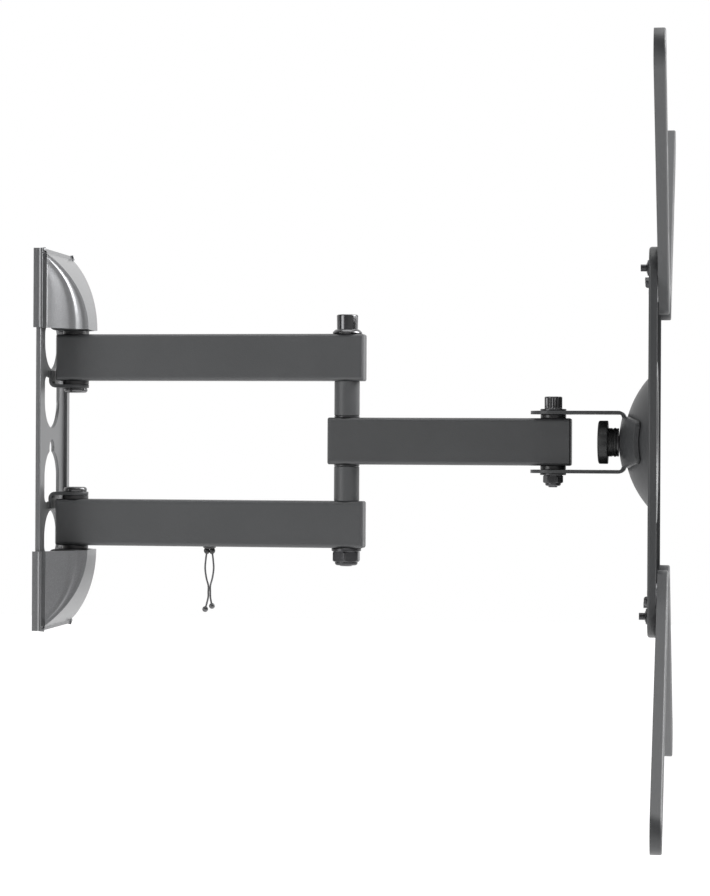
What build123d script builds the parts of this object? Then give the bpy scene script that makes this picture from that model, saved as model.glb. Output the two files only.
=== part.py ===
from build123d import *
from math import asin, atan2, cos, degrees, hypot, radians, sin, sqrt
import os

# Full motion TV wall mount, in millimetres.
# Origin: middle of the wall plate's back face. +X points out of the wall, +Z points up.
# The arms are stored straight out from the wall, with the TV plate upright.

# ---------------------------------------------------------------- clearances
FIT_GAP = 0.05          # all round a bolt, bush or plug that fits its hole
SIDE_GAP = 0.1          # between flat faces that turn on each other
LOOSE_GAP = 0.3         # between pieces that move past each other

# ---------------------------------------------------------------- wall plate
PLATE_WIDTH = 68.4
PLATE_HEIGHT = 226.0
PLATE_SHEET = 2.0
PLATE_RAIL_WIDTH = 6.6  # raised rail along each side
PLATE_RAIL_EDGE = 1.2
WINDOW_WIDTH = 33.2
WINDOWS = ((43.3, 70.0, 6.0), (7.2, 38.5, 4.0), (-6.4, -38.5, 4.0), (-43.3, -70.0, 6.0))
#            height of the full-round end, height of the square end, its corner radius
KEYHOLE_WIDTH = 10.8
KEYHOLE_Z = -5.2
KEYHOLE_END = -12.0
LAG_SPACING = 194.0     # between the two wall screw slots
LAG_WIDTH = 8.5
LAG_LENGTH = 16.0

# ---------------------------------------------------------------- tubes and arm layout
TUBE_HEIGHT = 28.4
TUBE_WIDTH = 16.0
TUBE_WALL = 1.8
TUBE_CORNER = 2.4
TUBE_OVERHANG = 8.6     # tube past its pivot
CAP_LENGTH = 2.3
CAP_PLUG = 2.6
ARM_SPACING = 101.2     # between the centres of the two first-arm tubes
WALL_PIVOT_X = 17.0
FIRST_ARM = 169.1       # wall pivot to elbow
SECOND_ARM = 125.0      # elbow to head pivot

# ---------------------------------------------------------------- lugs, bolts and bushes
LUG_SHEET = 2.0
BUSH_FLANGE = 2.4       # room for a bush flange between a tube and a lug
WALL_LUG_RADIUS = 8.0
WALL_LUG_BEND = 4.0     # outer radius
WALL_LUG_FOOT = 8.4     # height of the foot welded to the wall plate
BARREL_LENGTH = 8.0
WASHER_SHEET = 1.2

WALL_BOLT = 8.0
WALL_BUSH = 11.0
WALL_FLANGE = 16.0
WALL_HEAD = 14.3
WALL_HEAD_HEIGHT = 3.0
WALL_NUT = 13.0         # across flats
WALL_NUT_HEIGHT = 6.5

ELBOW_BOLT = 8.0
ELBOW_BUSH = 11.0
ELBOW_SPACER = 15.4
ELBOW_FLANGE_SHEET = 1.0
ELBOW_SLEEVE = 12.0
ELBOW_HEAD = 13.0
ELBOW_HEAD_HEIGHT = 9.0
ELBOW_WASHER = 18.0
ELBOW_TOP_WASHER = 2.8
ELBOW_LOW_WASHER = 2.0
ELBOW_NUT = 15.3
ELBOW_NUT_HEIGHT = 8.5

HEAD_BOLT = 6.0
HEAD_BUSH = 9.0
HEAD_FLANGE = 15.4
HEAD_CAP = 10.7
HEAD_CAP_HEIGHT = 7.4
HEAD_WASHER = 15.6
HEAD_NUT = 10.4
HEAD_NUT_HEIGHT = 6.5

# ---------------------------------------------------------------- yoke, dome and clamp
YOKE_LUG_RADIUS = 13.6
YOKE_BEND = 4.0
YOKE_SHEET = 2.2
YOKE_WIDTH = 66.0
YOKE_LAP = 0.6          # curved base past the start of each lug's bend
YOKE_WING_END = 24.6    # height of the base at its two outer ends
YOKE_CORNER = 4.0
DOME_REACH = 42.2       # head pivot to the dome's nose
DOME_RADIUS = 58.3
DOME_SHEET = 2.5
DOME_DEPTH = 15.5       # nose to the back of the TV plate
DOME_FLANGE_SHEET = 2.0
DOME_FLANGE_WIDTH = 6.2
LINER_SHEET = 0.5
LINER_GAP = 0.25        # running gap between the dome and its liner
LINER_INSET = 4.0       # liner smaller than the yoke's base
TILT_UP = 5.0           # degrees
TILT_DOWN = 15.0        # degrees
CLAMP_BOLT = 8.0
CLAMP_NECK = 7.9        # square neck in the dome's slot
CLAMP_SLOT = 8.6
CLAMP_SLOT_END = 1.2    # room past the neck at each end of the tilt
PRESSURE_WIDTH = 26.0
PRESSURE_HEIGHT = 32.0
PRESSURE_END_HEIGHT = 30.0
PRESSURE_CORNER = 6.0
PRESSURE_SHEET = 2.5
CLAMP_HEAD = 17.0
CLAMP_HEAD_HEIGHT = 4.5
KNOB_WASHER = 17.0
KNOB_WASHER_SHEET = 1.1
KNOB_NECK = 17.3
KNOB_NECK_LENGTH = 5.2
KNOB_WIDTH = 26.4
KNOB_LENGTH = 6.4
KNOB_FLUTES = 12
KNOB_FLUTE_RADIUS = 2.2
KNOB_FLUTE_DEPTH = 0.4
KNOB_INSERT = 12.0

# ---------------------------------------------------------------- TV plate and VESA arms
TV_PLATE_WIDTH = 124.6
TV_PLATE_HEIGHT = 225.0
TV_PLATE_CORNER = 14.0
TV_PLATE_DEPTH = 5.0
TV_PLATE_SHEET = 2.0
SMALL_VESA = (75.0, 100.0)
SMALL_VESA_HOLE = 5.0
LIGHT_SLOT_Z = 74.0
LIGHT_SLOT_LENGTH = 26.0
LIGHT_SLOT_WIDTH = 11.0
VESA = 400.0
VESA_HOLE = 8.5
VESA_SLOT = 6.6
VESA_SLOT_SPANS = ((44.0, 100.0), (118.0, 172.0))   # from the arm's pivot
ARM_PIVOT_Y = 40.0
ARM_PIVOT_Z = 92.0
ARM_WIDTH = 24.0
ARM_DEPTH = 6.2
ARM_SHEET = 2.0
ARM_INNER_END = 10.0    # centre of the arm's inner end, past its pivot
ARM_EDGE = 1.0
ARM_IN = 20.0           # degrees towards the middle
ARM_OUT = 14.0          # degrees away from the middle
LOCK_DISTANCE = 14.4
ARM_SCREW = 4.0
ARM_SCREW_HEAD = 7.8
ARM_SPACER = 12.0
LOCK_SPACER = 10.0
RIVET_TAIL = 5.4
RIVET_TAIL_HEIGHT = 2.4
LOCK_NUT = 9.0          # thin round speed nut
LOCK_NUT_HEIGHT = 1.3
LOCK_SCREW_END = 3.4    # screw past the lock nut

# ---------------------------------------------------------------- covers
COVER_CLEARANCE = 2.8   # above the tube that swings below the cover
COVER_END_GAP = 0.7     # past the end of the wall plate
COVER_DEPTH = 27.6
COVER_ARC = 59.0
COVER_WALL = 1.8
HOOD_BASE_X = 4.4       # where the hood's sloping sides start
HOOD_BASE_WIDTH = 67.4
HOOD_NOSE_WIDTH = 21.8
SKIRT_WIDTH = 72.4
SKIRT_DEPTH = 5.6
SKIRT_WALL = 1.5
SKIRT_ROOF = 1.2
SKIRT_CORNER = 7.0
GROOVE_WIDTH = 2.0
GROOVE_DEPTH = 0.7
CLIP_RIB = 4.0
CLIP_RIB_STEPS = (4.6, 32.0)    # from the cover's open end

# ---------------------------------------------------------------- cable clip
CLIP_DISTANCE = 84.5    # from the wall pivot
CLIP_STEM = 5.0
CLIP_LOBE = 3.6
CLIP_PLATE = 1.0
CLIP_PLATE_WIDTH = 8.0
CLIP_WIRE = 1.1
CLIP_EYE_WIDTH = 6.4
CLIP_EYE_HEIGHT = 21.0
CLIP_NECK = 8.0
CLIP_BALL = 3.6
CLIP_ENDS = ((1.7, 4.9), (-2.5, 6.9))    # ball centres: sideways, and below the neck

# ---------------------------------------------------------------- worked out from these
ELBOW_X = WALL_PIVOT_X + FIRST_ARM
HEAD_X = ELBOW_X + SECOND_ARM
NOSE_X = HEAD_X + DOME_REACH
SPHERE_X = NOSE_X + DOME_RADIUS
TV_BACK_X = NOSE_X + DOME_DEPTH
TV_SHEET_X = TV_BACK_X + TV_PLATE_SHEET
ARM_BACK_X = TV_BACK_X + TV_PLATE_DEPTH + LOOSE_GAP
ARM_WEB_X = ARM_BACK_X + ARM_DEPTH - ARM_SHEET
TV_FACE_X = ARM_BACK_X + ARM_DEPTH
ARM_Z = ARM_SPACING / 2
HALF_TUBE = TUBE_HEIGHT / 2
LUG_INNER = HALF_TUBE + BUSH_FLANGE
LUG_OUTER = LUG_INNER + LUG_SHEET
COVER_BOTTOM = ARM_Z + HALF_TUBE + COVER_CLEARANCE
COVER_HEIGHT = PLATE_HEIGHT / 2 + COVER_END_GAP + COVER_WALL - COVER_BOTTOM
YOKE_HEIGHT = 2 * (LUG_OUTER - YOKE_BEND + YOKE_LAP)
LINER_RADIUS = DOME_RADIUS + LINER_GAP
YOKE_RADIUS = LINER_RADIUS + LINER_SHEET + FIT_GAP
YOKE_OUTER = YOKE_RADIUS + YOKE_SHEET
YOKE_BACK_X = SPHERE_X - YOKE_OUTER
ARM_ANGLE = degrees(atan2(VESA / 2 - ARM_PIVOT_Z, VESA / 2 - ARM_PIVOT_Y))
ARM_REACH = hypot(VESA / 2 - ARM_PIVOT_Y, VESA / 2 - ARM_PIVOT_Z)
TUBE_END = TUBE_OVERHANG + CAP_LENGTH
SWING_RADIUS = WALL_PIVOT_X - PLATE_SHEET - LUG_SHEET - LOOSE_GAP

os.makedirs("parts", exist_ok=True)


def save(node, name):
    """Label a finished piece and write it as its own file."""
    node.label = name
    export_step(node, f"parts/{name}.step")


# ================================================================ common pieces


def make_ring(outer, bore, height):
    """Flat washer, sleeve or spacer standing on z = 0."""
    with BuildPart() as ring:
        with BuildSketch():
            Circle(outer / 2)
            Circle(bore / 2 + FIT_GAP, mode=Mode.SUBTRACT)
        extrude(amount=height)
        edge = min(0.4, height / 5)
        chamfer(ring.edges().filter_by(GeomType.CIRCLE).sort_by(SortBy.RADIUS)[-2:], edge)
    return ring.part


def make_bush(bore, barrel, flange, flange_height, barrel_length):
    """Flanged bush: flange above z = 0, barrel below."""
    with BuildPart() as bush:
        with BuildSketch():
            Circle(flange / 2)
        extrude(amount=flange_height)
        chamfer(bush.edges().filter_by(GeomType.CIRCLE), min(0.3, flange_height / 5))
        with BuildSketch():
            Circle(barrel / 2)
        extrude(amount=-barrel_length)
        with BuildSketch(Plane.XY.offset(-barrel_length)):
            Circle(bore / 2 + FIT_GAP)
        extrude(amount=barrel_length + flange_height, mode=Mode.SUBTRACT)
    return bush.part


def make_socket_bolt(shank, length, head, head_height, socket, round_top):
    """Bolt hanging down from z = 0, its head above, with a hexagon socket in the head."""
    with BuildPart() as bolt:
        with BuildSketch():
            Circle(head / 2)
        extrude(amount=head_height)
        rim = bolt.faces().sort_by(Axis.Z)[-1].edges()
        if round_top:
            fillet(rim, head_height * 0.7)
        else:
            chamfer(rim, head_height * 0.08)
        with BuildSketch(Plane.XY.offset(head_height)):
            RegularPolygon(socket / 2, 6, major_radius=False)
        extrude(amount=-head_height * 0.6, mode=Mode.SUBTRACT)
        with BuildSketch():
            Circle(shank / 2)
        extrude(amount=-length)
        chamfer(bolt.faces().sort_by(Axis.Z)[0].edges(), shank * 0.08)
    return bolt.part


def make_nut(across_flats, height, bore, flange=0.0, flange_height=0.0):
    """Hexagon nut standing on z = 0, with a round flange or lock ring where asked."""
    with BuildPart() as nut:
        with BuildSketch(Plane.XY.offset(flange_height)):
            RegularPolygon(across_flats / 2, 6, major_radius=False)
        extrude(amount=height)
        with BuildSketch(Plane.XZ):
            with BuildLine():
                half = across_flats / 2
                top = flange_height + height
                corner = half / cos(radians(30))
                slope = (corner - half) * 0.6
                Polyline((0, flange_height), (corner, flange_height), (corner, top - slope), (half, top),
                         (0, top), close=True)
            make_face()
        revolve(axis=Axis.Z, mode=Mode.INTERSECT)
        if flange:
            with BuildSketch():
                Circle(flange / 2)
            extrude(amount=flange_height)
        with BuildSketch():
            Circle(bore / 2 + FIT_GAP)
        extrude(amount=height + flange_height, mode=Mode.SUBTRACT)
    return nut.part


def make_lock_nut(across_flats, height, bore):
    """Lock nut standing on z = 0: a hexagon with a round, domed locking collar on top."""
    collar = height * 0.26
    with BuildPart() as nut:
        add(make_nut(across_flats, height - collar, bore))
        with BuildSketch(Plane.XY.offset(height - collar)):
            Circle(across_flats * 0.46)
        extrude(amount=collar)
        fillet(nut.faces().sort_by(Axis.Z)[-1].edges(), collar * 0.6)
        with BuildSketch():
            Circle(bore / 2 + FIT_GAP)
        extrude(amount=height, mode=Mode.SUBTRACT)
    return nut.part


def place(piece, *places):
    """Copies of a piece at several places, as one group of separate solids."""
    with BuildPart() as group:
        with Locations(*places):
            add(piece)
    return group.part


def upright(x, z):
    """Place at height z on the X axis, standing up."""
    return Location((x, 0, z))


def hanging(x, z):
    """Place at height z on the X axis, turned upside down."""
    return Location((x, 0, z), (180, 0, 0))


def mirrored(z):
    """Place at height z against the wall plate, turned upside down."""
    return hanging(0, z)


# ================================================================ wall plate and its brackets

rail_inner = PLATE_WIDTH / 2 - PLATE_RAIL_WIDTH
rail_front = 2 * PLATE_SHEET
web_end = rail_inner + PLATE_SHEET
with BuildPart() as wall_plate:
    # Section across the plate: a flat web on the wall, and a raised rail along each side.
    with BuildSketch(Plane.XY.offset(-PLATE_HEIGHT / 2)) as section:
        with BuildLine():
            Polyline(
                (0, web_end),
                (PLATE_SHEET, web_end),
                (PLATE_SHEET, PLATE_WIDTH / 2),
                (rail_front, PLATE_WIDTH / 2),
                (rail_front, rail_inner),
                (PLATE_SHEET, rail_inner),
                (PLATE_SHEET, -rail_inner),
                (rail_front, -rail_inner),
                (rail_front, -PLATE_WIDTH / 2),
                (PLATE_SHEET, -PLATE_WIDTH / 2),
                (PLATE_SHEET, -web_end),
                (0, -web_end),
                close=True,
            )
        make_face()
        front_corners = section.vertices().group_by(Axis.X)[-1].sort_by(Axis.Y)
        fillet([front_corners[0], front_corners[-1]], PLATE_RAIL_EDGE)
    extrude(amount=PLATE_HEIGHT)
    with BuildSketch(Plane.YZ):
        RectangleRounded(PLATE_WIDTH, PLATE_HEIGHT, 3)
    extrude(amount=rail_front, mode=Mode.INTERSECT)
    with BuildSketch(Plane.YZ):
        for round_end, square_end, corner in WINDOWS:
            way = 1 if square_end > round_end else -1
            centre = round_end + way * WINDOW_WIDTH / 2
            start = centre - way * corner
            with Locations((0, centre)):
                Circle(WINDOW_WIDTH / 2)
            with Locations((0, (start + square_end) / 2)):
                RectangleRounded(WINDOW_WIDTH, abs(square_end - start), corner)
        with Locations((0, KEYHOLE_Z)):
            Circle(KEYHOLE_WIDTH / 2)
        with Locations((0, (KEYHOLE_Z + KEYHOLE_END) / 2)):
            Rectangle(KEYHOLE_WIDTH, KEYHOLE_Z - KEYHOLE_END)
        with Locations((0, -LAG_SPACING / 2), (0, LAG_SPACING / 2)):
            SlotOverall(LAG_LENGTH, LAG_WIDTH, rotation=90)
    extrude(amount=PLATE_SHEET, mode=Mode.SUBTRACT)
save(wall_plate.part, "wall_plate")


def make_wall_lug():
    """Lug with its top face at z = 0 and its foot rising above it against the wall plate."""
    lug_end = WALL_PIVOT_X + WALL_LUG_RADIUS
    foot_x = PLATE_SHEET + LUG_SHEET
    with BuildPart() as lug:
        with BuildSketch(Plane.XZ):
            with BuildLine():
                inner_bend = WALL_LUG_BEND - LUG_SHEET
                bend_x = PLATE_SHEET + WALL_LUG_BEND
                bend_z = WALL_LUG_BEND - LUG_SHEET
                Line((lug_end, 0), (bend_x, 0))
                RadiusArc((bend_x, 0), (foot_x, bend_z), inner_bend)
                Line((foot_x, bend_z), (foot_x, WALL_LUG_FOOT))
                Line((foot_x, WALL_LUG_FOOT), (PLATE_SHEET, WALL_LUG_FOOT))
                Line((PLATE_SHEET, WALL_LUG_FOOT), (PLATE_SHEET, bend_z))
                RadiusArc((PLATE_SHEET, bend_z), (bend_x, -LUG_SHEET), -WALL_LUG_BEND)
                Line((bend_x, -LUG_SHEET), (lug_end, -LUG_SHEET))
                Line((lug_end, -LUG_SHEET), (lug_end, 0))
            make_face()
        extrude(amount=WALL_LUG_RADIUS, both=True)
        with BuildSketch(Plane.XY.offset(-LUG_SHEET)):
            with Locations((WALL_PIVOT_X / 2, 0)):
                Rectangle(WALL_PIVOT_X, 2 * WALL_LUG_RADIUS)
            with Locations((WALL_PIVOT_X, 0)):
                Circle(WALL_LUG_RADIUS)
                Circle(WALL_BOLT / 2 + FIT_GAP, mode=Mode.SUBTRACT)
        extrude(amount=LUG_SHEET + WALL_LUG_FOOT, mode=Mode.INTERSECT)
    return lug.part


# Each tube turns between an inner lug, whose foot points at the tube, and an outer lug under a cover.
wall_lug = make_wall_lug()
save(place(wall_lug, upright(0, ARM_Z - LUG_INNER), mirrored(LUG_INNER - ARM_Z)), "inner_wall_lugs")
save(place(wall_lug, upright(0, ARM_Z + LUG_OUTER), mirrored(-ARM_Z - LUG_OUTER)), "outer_wall_lugs")

# The button heads sit on the inner lugs, and the nuts on the outer ones, under the covers.
wall_grip = 2 * LUG_OUTER + WASHER_SHEET + WALL_NUT_HEIGHT + 1.5
wall_bolt = make_socket_bolt(WALL_BOLT, wall_grip, WALL_HEAD, WALL_HEAD_HEIGHT, 5.0, round_top=True)
head_side = ARM_Z - LUG_OUTER
nut_side = ARM_Z + LUG_OUTER
save(
    place(wall_bolt, hanging(WALL_PIVOT_X, head_side), upright(WALL_PIVOT_X, -head_side)),
    "wall_pivot_bolts",
)
save(
    place(
        make_ring(WALL_FLANGE, WALL_BOLT, WASHER_SHEET),
        upright(WALL_PIVOT_X, nut_side),
        hanging(WALL_PIVOT_X, -nut_side),
    ),
    "wall_pivot_washers",
)
save(
    place(
        make_nut(WALL_NUT, WALL_NUT_HEIGHT, WALL_BOLT),
        upright(WALL_PIVOT_X, nut_side + WASHER_SHEET),
        hanging(WALL_PIVOT_X, -nut_side - WASHER_SHEET),
    ),
    "wall_pivot_nuts",
)

# ================================================================ covers


def cover_form(wall):
    """Solid form of the upper cover's hood, smaller all round by wall for its inside."""
    slope = (HOOD_BASE_WIDTH - HOOD_NOSE_WIDTH) / 2 / (COVER_DEPTH - HOOD_BASE_X)
    side = wall * hypot(1, slope)
    depth = COVER_DEPTH - wall
    base = HOOD_BASE_WIDTH / 2 - side
    nose = HOOD_NOSE_WIDTH / 2 + wall * slope - side
    with BuildPart() as form:
        with BuildSketch(Plane.XY.offset(COVER_BOTTOM)):
            with BuildLine():
                Polyline(
                    (0, base),
                    (HOOD_BASE_X, base),
                    (depth, nose),
                    (depth, -nose),
                    (HOOD_BASE_X, -base),
                    (0, -base),
                    close=True,
                )
            make_face()
        extrude(amount=COVER_HEIGHT - wall)
        with BuildSketch(Plane.XZ):
            with Locations((COVER_DEPTH - COVER_ARC, COVER_BOTTOM)):
                Circle(COVER_ARC - wall)
        extrude(amount=HOOD_BASE_WIDTH, both=True, mode=Mode.INTERSECT)
    return form.part


cover_middle = COVER_BOTTOM + COVER_HEIGHT / 2
outer_form = cover_form(0)
inner_form = cover_form(COVER_WALL)
with BuildPart() as upper_cover:
    with BuildSketch(Plane.YZ) as skirt:
        with Locations((0, cover_middle)):
            Rectangle(SKIRT_WIDTH, COVER_HEIGHT)
        fillet(skirt.vertices().group_by(Axis.Y)[-1], SKIRT_CORNER)
    extrude(amount=SKIRT_DEPTH)
    chamfer(upper_cover.faces().sort_by(Axis.X)[-1].edges().sort_by(Axis.Z)[1:], 0.6)
    add(outer_form)
    with BuildSketch(Plane.YZ) as hollow:
        with Locations((0, cover_middle - SKIRT_WALL / 2)):
            Rectangle(SKIRT_WIDTH - 2 * SKIRT_WALL, COVER_HEIGHT - SKIRT_WALL)
        fillet(hollow.vertices().group_by(Axis.Y)[-1], SKIRT_CORNER - SKIRT_WALL)
    extrude(amount=SKIRT_DEPTH - SKIRT_ROOF, mode=Mode.SUBTRACT)
    add(inner_form, mode=Mode.SUBTRACT)
    shoulder = HOOD_BASE_WIDTH / 2 + 0.3
    with BuildSketch(Plane.XY.offset(COVER_BOTTOM)):
        with Locations((SKIRT_DEPTH - GROOVE_DEPTH / 2, shoulder), (SKIRT_DEPTH - GROOVE_DEPTH / 2, -shoulder)):
            Rectangle(GROOVE_DEPTH, GROOVE_WIDTH)
    extrude(amount=COVER_HEIGHT, mode=Mode.SUBTRACT)
    # Ribs that grip the wall plate's side rails.
    rib_inner = PLATE_WIDTH / 2 + SIDE_GAP
    rib_outer = (SKIRT_WIDTH - SKIRT_WALL) / 2
    rib_front = SKIRT_DEPTH - SKIRT_ROOF / 2
    for step in CLIP_RIB_STEPS:
        for side in (-1, 1):
            with BuildSketch(Plane.XY.offset(COVER_BOTTOM + step)):
                with Locations(((rib_front + LOOSE_GAP) / 2, side * (rib_inner + rib_outer) / 2)):
                    Rectangle(rib_front - LOOSE_GAP, rib_outer - rib_inner)
            extrude(amount=CLIP_RIB)
save(upper_cover.part, "upper_cover")

with BuildPart() as lower_cover:
    mirror(upper_cover.part, about=Plane.XY)
save(lower_cover.part, "lower_cover")

# ================================================================ tubes


def make_tube(start_x, end_x, centre_z, start_bore, end_bore):
    """Rectangular tube along X with a vertical bore through it at each pivot."""
    with BuildPart() as tube:
        with BuildSketch(Plane.YZ.offset(start_x - TUBE_OVERHANG)):
            with Locations((0, centre_z)):
                RectangleRounded(TUBE_WIDTH, TUBE_HEIGHT, TUBE_CORNER)
                RectangleRounded(
                    TUBE_WIDTH - 2 * TUBE_WALL,
                    TUBE_HEIGHT - 2 * TUBE_WALL,
                    TUBE_CORNER - TUBE_WALL,
                    mode=Mode.SUBTRACT,
                )
        extrude(amount=end_x - start_x + 2 * TUBE_OVERHANG)
        with BuildSketch(Plane.XY.offset(centre_z - HALF_TUBE)):
            with Locations((start_x, 0)):
                Circle(start_bore / 2 + FIT_GAP)
            with Locations((end_x, 0)):
                Circle(end_bore / 2 + FIT_GAP)
        extrude(amount=TUBE_HEIGHT, mode=Mode.SUBTRACT)
    return tube.part


def make_end_cap():
    """Plastic plug for a tube end that lies along +X from a pivot at the origin."""
    with BuildPart() as cap:
        with BuildSketch(Plane.YZ.offset(TUBE_OVERHANG)):
            RectangleRounded(TUBE_WIDTH, TUBE_HEIGHT, TUBE_CORNER)
        extrude(amount=CAP_LENGTH)
        fillet(cap.faces().sort_by(Axis.X)[-1].edges(), CAP_LENGTH * 0.45)
        with BuildSketch(Plane.XY.offset(-HALF_TUBE)):
            Circle(SWING_RADIUS)
        extrude(amount=TUBE_HEIGHT, mode=Mode.INTERSECT)
        plug_width = TUBE_WIDTH - 2 * TUBE_WALL - 2 * FIT_GAP
        plug_height = TUBE_HEIGHT - 2 * TUBE_WALL - 2 * FIT_GAP
        with BuildSketch(Plane.YZ.offset(TUBE_OVERHANG)):
            RectangleRounded(plug_width, plug_height, TUBE_CORNER - TUBE_WALL)
            Rectangle(plug_width - 2 * TUBE_WALL, plug_height - 2 * TUBE_WALL, mode=Mode.SUBTRACT)
        extrude(amount=-CAP_PLUG)
    return cap.part


def cap_places(start_x, end_x, *heights):
    """Places of the caps on both ends of tubes at several heights."""
    places = []
    for height in heights:
        places.append(Location((start_x, 0, height), (0, 0, 180)))
        places.append(Location((end_x, 0, height)))
    return places


with BuildPart() as upper_arm_tube:
    add(make_tube(WALL_PIVOT_X, ELBOW_X, ARM_Z, WALL_BUSH, ELBOW_BOLT))
save(upper_arm_tube.part, "upper_arm_tube")

clip_x = WALL_PIVOT_X + CLIP_DISTANCE
with BuildPart() as lower_arm_tube:
    add(make_tube(WALL_PIVOT_X, ELBOW_X, -ARM_Z, WALL_BUSH, ELBOW_BOLT))
    with BuildSketch(Plane.XY.offset(-ARM_Z - HALF_TUBE)):
        with Locations((clip_x, 0)):
            Circle(CLIP_STEM / 2 + FIT_GAP)
    extrude(amount=TUBE_WALL, mode=Mode.SUBTRACT)
save(lower_arm_tube.part, "lower_arm_tube")

with BuildPart() as second_arm_tube:
    add(make_tube(ELBOW_X, HEAD_X, 0, ELBOW_BUSH, HEAD_BUSH))
save(second_arm_tube.part, "second_arm_tube")

end_cap = make_end_cap()
save(place(end_cap, *cap_places(WALL_PIVOT_X, ELBOW_X, ARM_Z, -ARM_Z)), "first_arm_end_caps")
save(place(end_cap, *cap_places(ELBOW_X, HEAD_X, 0)), "second_arm_end_caps")

# ================================================================ bushes, elbow and head pivots

flange_height = BUSH_FLANGE - SIDE_GAP
wall_bush = make_bush(WALL_BOLT, WALL_BUSH, WALL_FLANGE, flange_height, BARREL_LENGTH)
save(
    place(
        wall_bush,
        upright(WALL_PIVOT_X, ARM_Z + HALF_TUBE),
        hanging(WALL_PIVOT_X, ARM_Z - HALF_TUBE),
        upright(WALL_PIVOT_X, HALF_TUBE - ARM_Z),
        hanging(WALL_PIVOT_X, -HALF_TUBE - ARM_Z),
    ),
    "wall_end_bushes",
)

elbow_bush = make_bush(ELBOW_BOLT, ELBOW_BUSH, ELBOW_SPACER, ELBOW_FLANGE_SHEET, BARREL_LENGTH)
save(place(elbow_bush, upright(ELBOW_X, HALF_TUBE), hanging(ELBOW_X, -HALF_TUBE)), "elbow_bushes")

head_bush = make_bush(HEAD_BOLT, HEAD_BUSH, HEAD_FLANGE, flange_height, BARREL_LENGTH)
save(place(head_bush, upright(HEAD_X, HALF_TUBE), hanging(HEAD_X, -HALF_TUBE)), "head_bushes")

spacer_start = HALF_TUBE + ELBOW_FLANGE_SHEET + SIDE_GAP
spacer = make_ring(ELBOW_SPACER, ELBOW_BOLT, ARM_Z - HALF_TUBE - spacer_start)
save(place(spacer, upright(ELBOW_X, spacer_start), hanging(ELBOW_X, -spacer_start)), "elbow_spacers")

sleeve = make_ring(ELBOW_SLEEVE, ELBOW_BOLT, TUBE_HEIGHT - 2 * TUBE_WALL)
sleeve_base = HALF_TUBE - TUBE_WALL
save(
    place(sleeve, upright(ELBOW_X, ARM_Z - sleeve_base), upright(ELBOW_X, -ARM_Z - sleeve_base)),
    "elbow_sleeves",
)

arm_top = ARM_Z + HALF_TUBE
save(place(make_ring(ELBOW_WASHER, ELBOW_BOLT, ELBOW_TOP_WASHER), upright(ELBOW_X, arm_top)), "elbow_top_washer")
save(place(make_ring(ELBOW_WASHER, ELBOW_BOLT, ELBOW_LOW_WASHER), hanging(ELBOW_X, -arm_top)), "elbow_low_washer")
save(
    place(
        make_lock_nut(ELBOW_NUT, ELBOW_NUT_HEIGHT, ELBOW_BOLT),
        hanging(ELBOW_X, -arm_top - ELBOW_LOW_WASHER),
    ),
    "elbow_lock_nut",
)
elbow_seat = arm_top + ELBOW_TOP_WASHER
elbow_grip = elbow_seat + arm_top + ELBOW_LOW_WASHER + ELBOW_NUT_HEIGHT + 0.5
elbow_bolt = make_socket_bolt(ELBOW_BOLT, elbow_grip, ELBOW_HEAD, ELBOW_HEAD_HEIGHT, 6.0, round_top=False)
save(place(elbow_bolt, upright(ELBOW_X, elbow_seat)), "elbow_bolt")

save(
    place(
        make_ring(HEAD_WASHER, HEAD_BOLT, WASHER_SHEET),
        upright(HEAD_X, LUG_OUTER),
        hanging(HEAD_X, -LUG_OUTER),
    ),
    "head_pivot_washers",
)
head_seat = LUG_OUTER + WASHER_SHEET
head_grip = 2 * head_seat + HEAD_NUT_HEIGHT + 0.8
head_bolt = make_socket_bolt(HEAD_BOLT, head_grip, HEAD_CAP, HEAD_CAP_HEIGHT, 5.0, round_top=False)
save(place(head_bolt, upright(HEAD_X, head_seat)), "head_pivot_bolt")
head_nut = make_lock_nut(HEAD_NUT, HEAD_NUT_HEIGHT, HEAD_BOLT)
save(place(head_nut, Location((HEAD_X, 0, -head_seat), (180, 0, 30))), "head_pivot_nut")

# ================================================================ cable clip

clip_top = -ARM_Z - HALF_TUBE - SIDE_GAP
lobe_z = clip_top - CLIP_PLATE - CLIP_LOBE * 0.4
with BuildPart() as clip_anchor:
    with BuildSketch(Plane.XY.offset(clip_top)):
        with Locations((clip_x, 0)):
            Circle(CLIP_PLATE_WIDTH / 2)
    extrude(amount=-CLIP_PLATE)
    with BuildSketch(Plane.XY.offset(clip_top)):
        with Locations((clip_x, 0)):
            Circle(CLIP_STEM / 2 - FIT_GAP)
    extrude(amount=SIDE_GAP + TUBE_WALL + LOOSE_GAP)
    with BuildSketch(Plane.XY.offset(clip_top + SIDE_GAP + TUBE_WALL + LOOSE_GAP)):
        with Locations((clip_x, 0)):
            Circle(CLIP_STEM / 2 + 0.6)
    extrude(amount=2.5, taper=20)
    with Locations((clip_x - CLIP_LOBE * 0.45, 0, lobe_z), (clip_x + CLIP_LOBE * 0.45, 0, lobe_z)):
        Sphere(CLIP_LOBE / 2)
save(clip_anchor.part, "cable_clip_anchor")

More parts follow.
